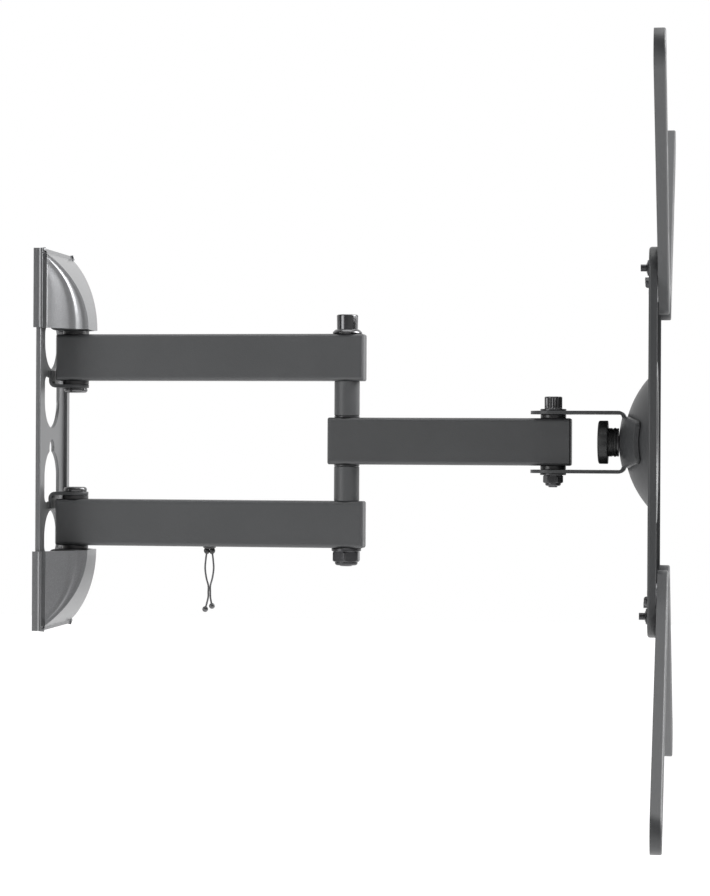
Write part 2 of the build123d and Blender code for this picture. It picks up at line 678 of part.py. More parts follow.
eye_top = lobe_z
eye_bottom = eye_top - CLIP_EYE_HEIGHT
neck_bottom = eye_bottom - CLIP_NECK
wire_middle = CLIP_WIRE / 2 + SIDE_GAP
with BuildPart() as clip_legs:
    for ball_x, ball_drop in CLIP_ENDS:
        side = 1 if ball_x > 0 else -1
        start = (clip_x + side * CLIP_LOBE * 0.45, eye_top)
        widest = (clip_x + side * (CLIP_EYE_WIDTH / 2 - CLIP_WIRE / 2), (eye_top + eye_bottom) / 2)
        neck = (clip_x + side * wire_middle, eye_bottom)
        waist = (clip_x + side * wire_middle, neck_bottom)
        tip = (clip_x + ball_x, neck_bottom - ball_drop)
        with BuildLine(Plane.XZ) as leg_line:
            ThreePointArc(start, widest, neck)
            Line(neck, waist)
            Line(waist, tip)
        for stretch in leg_line.edges():
            with BuildSketch(Plane(origin=stretch @ 0, z_dir=stretch % 0)):
                Circle(CLIP_WIRE / 2)
            sweep(path=stretch)
        with Locations((neck[0], 0, neck[1]), (waist[0], 0, waist[1])):
            Sphere(CLIP_WIRE / 2)
        with Locations((tip[0], 0, tip[1])):
            Sphere(CLIP_BALL / 2)
save(clip_legs.part, "cable_clip_legs")

# ================================================================ yoke, liner and clamp


def make_curved_plate(inner_radius, sheet, width, height, end_height, corner):
    """Sheet that follows the dome, on its wall side: height tall in the middle, end_height at its ends."""
    with BuildPart() as curved:
        with Locations((SPHERE_X, 0, 0)):
            Sphere(inner_radius + sheet)
            Sphere(inner_radius, mode=Mode.SUBTRACT)
        with BuildSketch(Plane.YZ.offset(SPHERE_X - inner_radius - sheet)) as outline:
            with BuildLine():
                quarter = width / 4
                Polyline(
                    (-width / 2, end_height / 2),
                    (-quarter, height / 2),
                    (quarter, height / 2),
                    (width / 2, end_height / 2),
                    (width / 2, -end_height / 2),
                    (quarter, -height / 2),
                    (-quarter, -height / 2),
                    (-width / 2, -end_height / 2),
                    close=True,
                )
            make_face()
            fillet(outline.vertices().group_by(Axis.X)[0] + outline.vertices().group_by(Axis.X)[-1], corner)
        extrude(amount=inner_radius, mode=Mode.INTERSECT)
    return curved.part


bend_z = LUG_OUTER - YOKE_BEND
base_x = SPHERE_X - sqrt(YOKE_RADIUS**2 - bend_z**2)
with BuildPart() as head_yoke:
    # Two lugs and their bends, as one strip seen from the side.
    with BuildSketch(Plane.XZ):
        for side in (-1, 1):
            with BuildLine():
                outer_bend = YOKE_BEND
                inner_bend = YOKE_BEND - LUG_SHEET
                bend_x = base_x - YOKE_BEND
                lug_end = HEAD_X - YOKE_LUG_RADIUS
                Line((lug_end, side * LUG_OUTER), (bend_x, side * LUG_OUTER))
                RadiusArc((bend_x, side * LUG_OUTER), (base_x, side * bend_z), side * outer_bend)
                Line((base_x, side * bend_z), (base_x - LUG_SHEET, side * bend_z))
                RadiusArc((base_x - LUG_SHEET, side * bend_z), (bend_x, side * LUG_INNER), -side * inner_bend)
                Line((bend_x, side * LUG_INNER), (lug_end, side * LUG_INNER))
                Line((lug_end, side * LUG_INNER), (lug_end, side * LUG_OUTER))
            make_face()
    extrude(amount=YOKE_LUG_RADIUS, both=True)
    with BuildSketch(Plane.XY.offset(-LUG_OUTER)):
        with Locations(((HEAD_X + base_x) / 2, 0)):
            Rectangle(base_x - HEAD_X, 2 * YOKE_LUG_RADIUS)
        with Locations((HEAD_X, 0)):
            Circle(YOKE_LUG_RADIUS)
            Circle(HEAD_BOLT / 2 + FIT_GAP, mode=Mode.SUBTRACT)
    extrude(amount=2 * LUG_OUTER, mode=Mode.INTERSECT)
    add(make_curved_plate(YOKE_RADIUS, YOKE_SHEET, YOKE_WIDTH, YOKE_HEIGHT, YOKE_WING_END, YOKE_CORNER))
    with BuildSketch(Plane.YZ.offset(YOKE_BACK_X - YOKE_SHEET)):
        Circle(CLAMP_BOLT / 2 + FIT_GAP)
    extrude(amount=4 * YOKE_SHEET, mode=Mode.SUBTRACT)
save(head_yoke.part, "head_yoke")

with BuildPart() as friction_liner:
    liner_width = YOKE_WIDTH - LINER_INSET
    liner_height = YOKE_HEIGHT - LINER_INSET
    liner_end = YOKE_WING_END - LINER_INSET
    add(make_curved_plate(LINER_RADIUS, LINER_SHEET, liner_width, liner_height, liner_end, LINER_INSET))
    with BuildSketch(Plane.YZ.offset(YOKE_BACK_X)):
        Circle(CLAMP_NECK / sqrt(2) + LOOSE_GAP)
    extrude(amount=2 * YOKE_SHEET, mode=Mode.SUBTRACT)
save(friction_liner.part, "friction_liner")

pressure_outer = DOME_RADIUS - DOME_SHEET - LOOSE_GAP
pressure_inner = pressure_outer - PRESSURE_SHEET
with BuildPart() as pressure_plate:
    add(
        make_curved_plate(
            pressure_inner, PRESSURE_SHEET, PRESSURE_WIDTH, PRESSURE_HEIGHT, PRESSURE_END_HEIGHT, PRESSURE_CORNER
        )
    )
    with BuildSketch(Plane.YZ.offset(SPHERE_X - pressure_outer)):
        Rectangle(CLAMP_NECK + 2 * FIT_GAP, CLAMP_NECK + 2 * FIT_GAP)
    extrude(amount=2 * PRESSURE_SHEET, mode=Mode.SUBTRACT)
save(pressure_plate.part, "pressure_plate")

# The carriage bolt: its head inside the dome, its square neck in the dome's slot.
head_x = SPHERE_X - sqrt(pressure_inner**2 - (CLAMP_HEAD / 2) ** 2) + FIT_GAP
neck_x = SPHERE_X - LINER_RADIUS + LINER_GAP / 2
washer_x = YOKE_BACK_X - FIT_GAP
knob_x = washer_x - KNOB_WASHER_SHEET - SIDE_GAP
knob_end_x = knob_x - KNOB_NECK_LENGTH - KNOB_LENGTH
bolt_end_x = knob_end_x + KNOB_LENGTH * 0.6
with BuildPart() as clamp_bolt:
    with BuildSketch(Plane.YZ.offset(head_x)):
        Circle(CLAMP_HEAD / 2)
    extrude(amount=CLAMP_HEAD_HEIGHT)
    fillet(clamp_bolt.faces().sort_by(Axis.X)[-1].edges(), CLAMP_HEAD_HEIGHT * 0.8)
    with BuildSketch(Plane.YZ.offset(neck_x)):
        Rectangle(CLAMP_NECK, CLAMP_NECK)
    extrude(amount=head_x - neck_x)
    with BuildSketch(Plane.YZ.offset(bolt_end_x)):
        Circle(CLAMP_BOLT / 2 - FIT_GAP)
    extrude(amount=neck_x - bolt_end_x)
save(clamp_bolt.part, "clamp_bolt")

with BuildPart() as knob_washer:
    with BuildSketch(Plane.YZ.offset(washer_x)):
        Circle(KNOB_WASHER / 2)
        Circle(CLAMP_BOLT / 2 + FIT_GAP, mode=Mode.SUBTRACT)
    extrude(amount=-KNOB_WASHER_SHEET)
save(knob_washer.part, "knob_washer")

with BuildPart() as clamp_knob:
    with BuildSketch(Plane.YZ.offset(knob_x)):
        Circle(KNOB_NECK / 2)
    extrude(amount=-KNOB_NECK_LENGTH)
    with BuildSketch(Plane.YZ.offset(knob_x - KNOB_NECK_LENGTH)):
        Circle(KNOB_WIDTH / 2)
    extrude(amount=-KNOB_LENGTH)
    grip = clamp_knob.faces().sort_by(Axis.X)[0].edges()
    fillet(grip, KNOB_LENGTH * 0.3)
    with BuildSketch(Plane.YZ.offset(knob_x - KNOB_NECK_LENGTH)):
        with PolarLocations(KNOB_WIDTH / 2 + KNOB_FLUTE_RADIUS - KNOB_FLUTE_DEPTH, KNOB_FLUTES):
            Circle(KNOB_FLUTE_RADIUS)
    extrude(amount=-KNOB_LENGTH, mode=Mode.SUBTRACT)
    with BuildSketch(Plane.YZ.offset(knob_x)):
        Circle(KNOB_INSERT / 2)
    extrude(amount=bolt_end_x - knob_x - SIDE_GAP, mode=Mode.SUBTRACT)
save(clamp_knob.part, "clamp_knob")

with BuildPart() as knob_insert:
    with BuildSketch(Plane.YZ.offset(knob_x)):
        RegularPolygon(KNOB_INSERT / 2 - FIT_GAP, 6)
        Circle(CLAMP_BOLT / 2, mode=Mode.SUBTRACT)
    extrude(amount=bolt_end_x - knob_x)
save(knob_insert.part, "knob_insert")

# ================================================================ dome and TV plate

flange_x = TV_SHEET_X + DOME_FLANGE_SHEET
dome_inner = DOME_RADIUS - DOME_SHEET
dome_rim = sqrt(DOME_RADIUS**2 - (SPHERE_X - TV_SHEET_X) ** 2)
with BuildPart() as tilt_dome:
    with Locations((SPHERE_X, 0, 0)):
        Sphere(DOME_RADIUS)
    with BuildSketch(Plane.YZ.offset(NOSE_X)):
        Circle(DOME_RADIUS)
    extrude(amount=flange_x - NOSE_X, mode=Mode.INTERSECT)
    with BuildSketch(Plane.YZ.offset(TV_SHEET_X)):
        Circle(dome_rim + DOME_FLANGE_WIDTH)
    extrude(amount=DOME_FLANGE_SHEET)
    with Locations((SPHERE_X, 0, 0)):
        Sphere(dome_inner, mode=Mode.SUBTRACT)
    slot_top = DOME_RADIUS * sin(radians(TILT_UP)) + CLAMP_NECK / 2 + CLAMP_SLOT_END
    slot_bottom = -DOME_RADIUS * sin(radians(TILT_DOWN)) - CLAMP_NECK / 2 - CLAMP_SLOT_END
    with BuildSketch(Plane.YZ.offset(NOSE_X)):
        with Locations((0, (slot_top + slot_bottom) / 2)):
            RectangleRounded(CLAMP_SLOT, slot_top - slot_bottom, 0.5)
    extrude(amount=DOME_DEPTH, mode=Mode.SUBTRACT)
save(tilt_dome.part, "tilt_dome")


def arm_plane(side, up, x):
    """Plane facing the TV at depth x, centred on an arm's pivot, with its own X along the arm."""
    angle = radians(ARM_ANGLE)
    return Plane(
        origin=(x, side * ARM_PIVOT_Y, up * ARM_PIVOT_Z),
        x_dir=(0, side * cos(angle), up * sin(angle)),
        z_dir=(1, 0, 0),
    )


CORNERS = {
    "upper_left": (-1, 1),
    "upper_right": (1, 1),
    "lower_left": (-1, -1),
    "lower_right": (1, -1),
}

with BuildPart() as vesa_plate:
    with BuildSketch(Plane.YZ.offset(TV_BACK_X)):
        RectangleRounded(TV_PLATE_WIDTH, TV_PLATE_HEIGHT, TV_PLATE_CORNER)
    extrude(amount=TV_PLATE_DEPTH)
    fillet(vesa_plate.faces().sort_by(Axis.X)[0].edges(), TV_PLATE_SHEET * 0.8)
    with BuildSketch(Plane.YZ.offset(TV_SHEET_X)):
        RectangleRounded(
            TV_PLATE_WIDTH - 2 * TV_PLATE_SHEET,
            TV_PLATE_HEIGHT - 2 * TV_PLATE_SHEET,
            TV_PLATE_CORNER - TV_PLATE_SHEET,
        )
    extrude(amount=TV_PLATE_DEPTH, mode=Mode.SUBTRACT)
    # Tapered opening that the dome stands in.
    with BuildSketch(Plane.XY):
        with BuildLine():
            back_radius, front_radius = (
                sqrt((DOME_RADIUS + 2 * FIT_GAP) ** 2 - (SPHERE_X - x) ** 2) for x in (TV_BACK_X, TV_SHEET_X)
            )
            Polyline((TV_BACK_X, 0), (TV_BACK_X, back_radius), (TV_SHEET_X, front_radius), (TV_SHEET_X, 0), close=True)
        make_face()
    revolve(axis=Axis.X, mode=Mode.SUBTRACT)
    with BuildSketch(Plane.YZ.offset(TV_BACK_X)):
        for spacing in SMALL_VESA:
            with GridLocations(spacing, spacing, 2, 2):
                Circle(SMALL_VESA_HOLE / 2)
        with Locations((0, -LIGHT_SLOT_Z), (0, LIGHT_SLOT_Z)):
            SlotOverall(LIGHT_SLOT_LENGTH, LIGHT_SLOT_WIDTH)
        with GridLocations(2 * ARM_PIVOT_Y, 2 * ARM_PIVOT_Z, 2, 2):
            Circle(ARM_SCREW / 2 + FIT_GAP)
    extrude(amount=TV_PLATE_SHEET, mode=Mode.SUBTRACT)
    # Curved slots that the lock bolts slide in.
    for side, up in CORNERS.values():
        turn = side * up
        arc = CenterArc((0, 0), LOCK_DISTANCE, -turn * ARM_OUT, turn * (ARM_OUT + ARM_IN))
        with BuildSketch(arm_plane(side, up, TV_BACK_X)):
            SlotArc(arc, ARM_SCREW + 2 * LOOSE_GAP)
        extrude(amount=TV_PLATE_SHEET, mode=Mode.SUBTRACT)
save(vesa_plate.part, "vesa_plate")

# ================================================================ VESA arms and their fasteners


def make_flush_stud(plane, length, gap=0.0):
    """Countersunk stud from a plane at the TV face back towards the wall; gap makes it a cutter."""
    shank = ARM_SCREW / 2 + gap
    head = ARM_SCREW_HEAD / 2 + gap
    with BuildPart() as stud:
        with BuildSketch(Plane(origin=plane.origin, x_dir=(0, 1, 0), z_dir=(0, 0, -1))):
            with BuildLine():
                Polyline((0, 0), (head, 0), (shank, shank - head), (shank, -length), (0, -length), close=True)
            make_face()
        revolve(axis=Axis(plane.origin, (1, 0, 0)))
    return stud.part


spacer_length = ARM_WEB_X - TV_SHEET_X - SIDE_GAP
stud_length = TV_FACE_X - TV_BACK_X
rivets = []
spacer_places = []
for corner, (side, up) in CORNERS.items():
    face_plane = arm_plane(side, up, TV_FACE_X)
    lock_point = face_plane.from_local_coords((LOCK_DISTANCE, 0, 0))
    lock_plane = Plane(origin=lock_point, x_dir=face_plane.x_dir, z_dir=(1, 0, 0))
    tip = ARM_REACH
    middle = (tip - ARM_INNER_END) / 2
    span = tip + ARM_INNER_END

    with BuildPart() as vesa_arm:
        with BuildSketch(arm_plane(side, up, ARM_BACK_X)):
            with Locations((middle, 0)):
                SlotCenterToCenter(span, ARM_WIDTH)
        extrude(amount=ARM_DEPTH)
        fillet(vesa_arm.faces().sort_by(Axis.X)[-1].edges(), ARM_EDGE)
        with BuildSketch(arm_plane(side, up, ARM_BACK_X)):
            with Locations((middle, 0)):
                SlotCenterToCenter(span, ARM_WIDTH - 2 * ARM_SHEET)
        extrude(amount=ARM_DEPTH - ARM_SHEET, mode=Mode.SUBTRACT)
        with BuildSketch(arm_plane(side, up, ARM_WEB_X)):
            with Locations((tip, 0)):
                Circle(VESA_HOLE / 2)
            for low, high in VESA_SLOT_SPANS:
                with Locations(((low + high) / 2, 0)):
                    SlotOverall(high - low, VESA_SLOT)
        extrude(amount=ARM_SHEET, mode=Mode.SUBTRACT)
        add(make_flush_stud(face_plane, stud_length, SIDE_GAP), mode=Mode.SUBTRACT)
        add(make_flush_stud(lock_plane, stud_length, FIT_GAP), mode=Mode.SUBTRACT)
    save(vesa_arm.part, f"{corner}_vesa_arm")

    nut_room = SIDE_GAP + LOCK_NUT_HEIGHT
    save(make_flush_stud(lock_plane, stud_length + nut_room + LOCK_SCREW_END), f"{corner}_lock_bolt")

    with BuildPart() as lock_spacer:
        with BuildSketch(Plane(origin=lock_point, z_dir=(1, 0, 0)).offset(-ARM_SHEET)):
            Circle(LOCK_SPACER / 2)
            Circle(ARM_SCREW / 2 + FIT_GAP, mode=Mode.SUBTRACT)
        extrude(amount=-spacer_length)
    save(lock_spacer.part, f"{corner}_lock_spacer")

    nut_place = Location((TV_BACK_X - SIDE_GAP, lock_point.Y, lock_point.Z), (0, -90, 0))
    lock_nut = make_ring(LOCK_NUT, ARM_SCREW, LOCK_NUT_HEIGHT)
    save(place(lock_nut, nut_place), f"{corner}_lock_nut")

    with BuildPart() as rivet:
        add(make_flush_stud(face_plane, stud_length))
        with BuildSketch(arm_plane(side, up, TV_BACK_X)):
            Circle(RIVET_TAIL / 2)
        extrude(amount=-RIVET_TAIL_HEIGHT)
        fillet(rivet.faces().sort_by(Axis.X)[0].edges(), RIVET_TAIL_HEIGHT * 0.6)
    rivets.append(rivet.part)
    spacer_places.append(Location((TV_SHEET_X, side * ARM_PIVOT_Y, up * ARM_PIVOT_Z), (0, 90, 0)))

with BuildPart() as arm_pivot_rivets:
    for rivet_part in rivets:
        add(rivet_part)
save(arm_pivot_rivets.part, "arm_pivot_rivets")
save(place(make_ring(ARM_SPACER, ARM_SCREW, spacer_length), *spacer_places), "arm_pivot_spacers")
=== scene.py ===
"""Looks of a full motion TV wall mount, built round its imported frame.

The frame holds every rigid piece at its real place. This file gives each of them a finish, and
makes in mesh code the pieces whose surface needs more than their plain solids have: the covers,
the bolt heads, the lock nuts, the hand knob, the cable clip and the welds.
"""

import logging
import math
from dataclasses import dataclass, field
from enum import Enum
from typing import Callable, Sequence

import bmesh
import bpy
from mathutils import Matrix, Vector


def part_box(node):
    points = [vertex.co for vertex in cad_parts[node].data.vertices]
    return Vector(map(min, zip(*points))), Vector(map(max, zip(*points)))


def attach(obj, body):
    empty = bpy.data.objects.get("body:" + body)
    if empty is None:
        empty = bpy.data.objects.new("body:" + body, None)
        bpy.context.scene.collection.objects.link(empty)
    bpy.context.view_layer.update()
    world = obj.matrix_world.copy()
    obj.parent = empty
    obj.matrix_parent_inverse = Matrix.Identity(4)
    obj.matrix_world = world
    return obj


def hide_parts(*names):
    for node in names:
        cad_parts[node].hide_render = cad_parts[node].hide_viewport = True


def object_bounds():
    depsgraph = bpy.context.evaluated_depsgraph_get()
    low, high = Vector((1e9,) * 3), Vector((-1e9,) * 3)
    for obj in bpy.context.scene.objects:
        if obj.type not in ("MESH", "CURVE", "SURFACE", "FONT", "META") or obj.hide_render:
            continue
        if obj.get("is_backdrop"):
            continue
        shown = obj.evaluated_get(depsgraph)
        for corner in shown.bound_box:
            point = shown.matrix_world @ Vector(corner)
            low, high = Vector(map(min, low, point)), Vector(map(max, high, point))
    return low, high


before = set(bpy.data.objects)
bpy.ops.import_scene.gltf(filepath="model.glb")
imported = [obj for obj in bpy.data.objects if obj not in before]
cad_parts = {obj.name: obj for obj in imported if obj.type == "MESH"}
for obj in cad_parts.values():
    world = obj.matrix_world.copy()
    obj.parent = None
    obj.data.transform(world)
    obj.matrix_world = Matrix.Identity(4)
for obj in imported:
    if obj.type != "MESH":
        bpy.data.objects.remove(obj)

LOG = logging.getLogger("wall_mount")
MM = 0.001
SHARP_ANGLE = math.radians(32)
SHEET = 2.0 * MM
WALL_LUG_FOOT = 8.4 * MM
UP = (0.0, 0.0, 1.0)
DOWN = (0.0, 0.0, -1.0)
TO_WALL = (-1.0, 0.0, 0.0)

RadiusAt = Callable[[float], float]
Point = tuple[float, float, float]


# ---------------------------------------------------------------- node trees


class Tree:
    """Small helper that adds and links nodes in one node tree."""

    def __init__(self, tree: bpy.types.NodeTree) -> None:
        """Keep the tree.

        Args:
            tree: the node tree to build in.
        """
        self.tree = tree
        self.column = 0

    def add(self, kind: str, **values: object) -> bpy.types.Node:
        """Add a node and set its attributes and inputs.

        Args:
            kind: the node's type name.
            **values: node attributes, or input names with spaces written as underscores.

        Returns:
            The new node.
        """
        node = self.tree.nodes.new(kind)
        self.column += 1
        node.location = (self.column * 190 - 1600, (self.column % 4) * -190)
        for name, value in values.items():
            title = name.replace("_", " ")
            if hasattr(node, name) and name != "color":
                setattr(node, name, value)
            elif title in node.inputs:
                node.inputs[title].default_value = value
            else:
                raise KeyError(f"{kind} has no {name}")
        return node

    def link(self, source: bpy.types.NodeSocket, target: bpy.types.NodeSocket) -> None:
        """Join an output to an input.

        Args:
            source: the output socket.
            target: the input socket.
        """
        self.tree.links.new(source, target)

    def math(self, operation: str, first: object, second: object = 0.0) -> bpy.types.NodeSocket:
        """Add a maths node.

        Args:
            operation: the operation's name.
            first: a socket or a number.
            second: a socket or a number.

        Returns:
            The node's output socket.
        """
        node = self.add("ShaderNodeMath", operation=operation)
        for socket, value in zip(node.inputs, (first, second)):
            if isinstance(value, bpy.types.NodeSocket):
                self.link(value, socket)
            else:
                socket.default_value = value
        return node.outputs[0]


class Effect(Enum):
    """Shader node groups that several finishes share."""

    GRAIN = "surface_grain"
    CLOUD = "slow_variation"
    RINGS = "turned_rings"
    FLAKES = "metal_flakes"


class EffectLibrary:
    """Builds each shared node group once."""

    def __init__(self) -> None:
        """Start with no groups."""
        self.groups: dict[Effect, bpy.types.ShaderNodeTree] = {}
        self.makers = {
            Effect.GRAIN: self.make_grain,
            Effect.CLOUD: self.make_cloud,
            Effect.RINGS: self.make_rings,
            Effect.FLAKES: self.make_flakes,
        }

    def place(self, tree: Tree, effect: Effect, **values: float) -> bpy.types.Node:
        """Place a group in a material's tree.

        Args:
            tree: the material's tree.
            effect: which group.
            **values: the group's input values, with spaces written as underscores.

        Returns:
            The group node.
        """
        if effect not in self.groups:
            self.groups[effect] = self.makers[effect]()
        node = tree.add("ShaderNodeGroup")
        node.node_tree = self.groups[effect]
        for name, value in values.items():
            node.inputs[name.replace("_", " ")].default_value = value
        return node

    @staticmethod
    def start(name: str, inputs: dict[str, float], outputs: Sequence[str]) -> tuple[Tree, object, object]:
        """Make an empty group with its sockets.

        Args:
            name: the group's name.
            inputs: input names and their usual values.
            outputs: output names.

        Returns:
            The tree helper, the group's input node and its output node.
        """
        group = bpy.data.node_groups.new(name, "ShaderNodeTree")
        for title, value in inputs.items():
            socket = group.interface.new_socket(title, in_out="INPUT", socket_type="NodeSocketFloat")
            socket.default_value = value
        for title in outputs:
            group.interface.new_socket(title, in_out="OUTPUT", socket_type="NodeSocketFloat")
        tree = Tree(group)
        return tree, tree.add("NodeGroupInput"), tree.add("NodeGroupOutput")

    def make_grain(self) -> bpy.types.ShaderNodeTree:
        """Fine orange-peel texture of a sprayed or moulded surface.

        Returns:
            The group, with outputs Height and Tone.
        """
        inputs = {"Scale": 1800.0, "Softness": 0.5}
        tree, given, result = self.start("surface_grain", inputs, ["Height", "Tone"])
        place = tree.add("ShaderNodeTexCoord")
        broad = tree.add("ShaderNodeTexNoise", Detail=2.0, Roughness=0.45)
        fine = tree.add("ShaderNodeTexVoronoi", feature="SMOOTH_F1")
        tree.link(place.outputs["Object"], broad.inputs["Vector"])
        tree.link(place.outputs["Object"], fine.inputs["Vector"])
        tree.link(given.outputs["Scale"], broad.inputs["Scale"])
        tree.link(tree.math("MULTIPLY", given.outputs["Scale"], 1.9), fine.inputs["Scale"])
        tree.link(given.outputs["Softness"], fine.inputs["Smoothness"])
        pits = tree.math("MULTIPLY", fine.outputs["Distance"], 0.55)
        tree.link(tree.math("ADD", broad.outputs["Fac"], pits), result.inputs["Height"])
        tree.link(broad.outputs["Fac"], result.inputs["Tone"])
        return tree.tree

    def make_cloud(self) -> bpy.types.ShaderNodeTree:
        """Slow change over a surface, as from handling and uneven spraying.

        Returns:
            The group, with output Mask.
        """
        tree, given, result = self.start("slow_variation", {"Scale": 22.0, "Contrast": 1.0}, ["Mask"])
        place = tree.add("ShaderNodeTexCoord")
        noise = tree.add("ShaderNodeTexNoise", Detail=4.0, Roughness=0.6, Distortion=0.4)
        tree.link(place.outputs["Object"], noise.inputs["Vector"])
        tree.link(given.outputs["Scale"], noise.inputs["Scale"])
        centred = tree.math("SUBTRACT", noise.outputs["Fac"], 0.5)
        widened = tree.math("MULTIPLY", centred, given.outputs["Contrast"])
        tree.link(tree.math("ADD", widened, 0.5), result.inputs["Mask"])
        return tree.tree

    def make_rings(self) -> bpy.types.ShaderNodeTree:
        """Fine lines round an upright turned part, and the scratches between them.

        Returns:
            The group, with outputs Height and Mask.
        """
        tree, given, result = self.start("turned_rings", {"Pitch": 2600.0, "Wander": 0.6}, ["Height", "Mask"])
        place = tree.add("ShaderNodeTexCoord")
        parts = tree.add("ShaderNodeSeparateXYZ")
        noise = tree.add("ShaderNodeTexNoise", Scale=420.0, Detail=3.0)
        tree.link(place.outputs["Object"], parts.inputs[0])
        tree.link(place.outputs["Object"], noise.inputs["Vector"])
        bend = tree.math("MULTIPLY", noise.outputs["Fac"], given.outputs["Wander"])
        turns = tree.math("MULTIPLY", parts.outputs["Z"], given.outputs["Pitch"])
        line = tree.math("SINE", tree.math("ADD", turns, tree.math("MULTIPLY", bend, 6.0)))
        tree.link(tree.math("ADD", tree.math("MULTIPLY", line, 0.5), 0.5), result.inputs["Height"])
        tree.link(noise.outputs["Fac"], result.inputs["Mask"])
        return tree.tree

    def make_flakes(self) -> bpy.types.ShaderNodeTree:
        """Tiny metal flakes under a clear coat.

        Returns:
            The group, with outputs Flake and Height.
        """
        inputs = {"Scale": 5200.0, "Share": 0.25}
        tree, given, result = self.start("metal_flakes", inputs, ["Flake", "Height"])
        place = tree.add("ShaderNodeTexCoord")
        cells = tree.add("ShaderNodeTexVoronoi", feature="F1")
        split = tree.add("ShaderNodeSeparateColor")
        tree.link(place.outputs["Object"], cells.inputs["Vector"])
        tree.link(given.outputs["Scale"], cells.inputs["Scale"])
        tree.link(cells.outputs["Color"], split.inputs[0])
        bright = tree.math("LESS_THAN", split.outputs[0], given.outputs["Share"])
        tree.link(tree.math("MULTIPLY", bright, split.outputs[1]), result.inputs["Flake"])
        tree.link(split.outputs[2], result.inputs["Height"])
        return tree.tree


# ---------------------------------------------------------------- finishes


@dataclass(frozen=True)
class Finish:
    """A surface finish: its colour, how it shines and how fine its texture is.

    Colours are linear. Scales are in textures per metre, and bump depths in metres.
    """

    name: str
    colour: tuple[float, float, float]
    second: tuple[float, float, float]
    roughness: float
    spread: float
    metallic: float = 0.0
    coat: float = 0.0
    coat_roughness: float = 0.1
    specular: float = 0.5
    grain_scale: float = 1800.0
    bump: float = 0.00003
    cloud_scale: float = 22.0
    flakes: bool = False
    rings: bool = False

    def build(self, effects: EffectLibrary) -> bpy.types.Material:
        """Make the material.

        Args:
            effects: the shared node groups.

        Returns:
            A new material with its own Principled shader.
        """
        material = bpy.data.materials.new(self.name)
        material.use_nodes = True
        material.node_tree.nodes.clear()
        tree = Tree(material.node_tree)
        shader = tree.add("ShaderNodeBsdfPrincipled", Metallic=self.metallic, Coat_Weight=self.coat)
        shader.inputs["Coat Roughness"].default_value = self.coat_roughness
        shader.inputs["Specular IOR Level"].default_value = self.specular
        output = tree.add("ShaderNodeOutputMaterial")
        tree.link(shader.outputs["BSDF"], output.inputs["Surface"])

        cloud = effects.place(tree, Effect.CLOUD, Scale=self.cloud_scale, Contrast=1.3)
        grain = effects.place(tree, Effect.GRAIN, Scale=self.grain_scale)
        tone = self.tone(tree, effects, cloud, grain)
        mix = tree.add("ShaderNodeMix", data_type="RGBA")
        mix.inputs["A"].default_value = (*self.colour, 1.0)
        mix.inputs["B"].default_value = (*self.second, 1.0)
        tree.link(tone, mix.inputs["Factor"])
        tree.link(mix.outputs["Result"], shader.inputs["Base Color"])

        shine = tree.add("ShaderNodeMapRange")
        shine.inputs["To Min"].default_value = self.roughness - self.spread
        shine.inputs["To Max"].default_value = self.roughness + self.spread
        tree.link(cloud.outputs["Mask"], shine.inputs["Value"])
        tree.link(shine.outputs["Result"], shader.inputs["Roughness"])

        height = grain.outputs["Height"]
        if self.rings:
            rings = effects.place(tree, Effect.RINGS)
            height = tree.math("ADD", height, tree.math("MULTIPLY", rings.outputs["Height"], 0.6))
        bump = tree.add("ShaderNodeBump", Strength=1.0, Distance=self.bump)
        tree.link(height, bump.inputs["Height"])
        tree.link(bump.outputs["Normal"], shader.inputs["Normal"])
        return material

    def tone(
        self, tree: Tree, effects: EffectLibrary, cloud: bpy.types.Node, grain: bpy.types.Node
    ) -> bpy.types.NodeSocket:
        """Say where the second colour shows.

        Args:
            tree: the material's tree.
            effects: the shared node groups.
            cloud: the slow variation group.
            grain: the grain group.

        Returns:
            A socket from 0, the first colour, to 1, the second.
        """
        if self.flakes:
            flakes = effects.place(tree, Effect.FLAKES)
            slow = tree.math("MULTIPLY", cloud.outputs["Mask"], 0.25)
            return tree.math("ADD", tree.math("MULTIPLY", flakes.outputs["Flake"], 0.75), slow)
        fine = tree.math("MULTIPLY", grain.outputs["Tone"], 0.5)
        return tree.math("ADD", tree.math("MULTIPLY", cloud.outputs["Mask"], 0.5), fine)


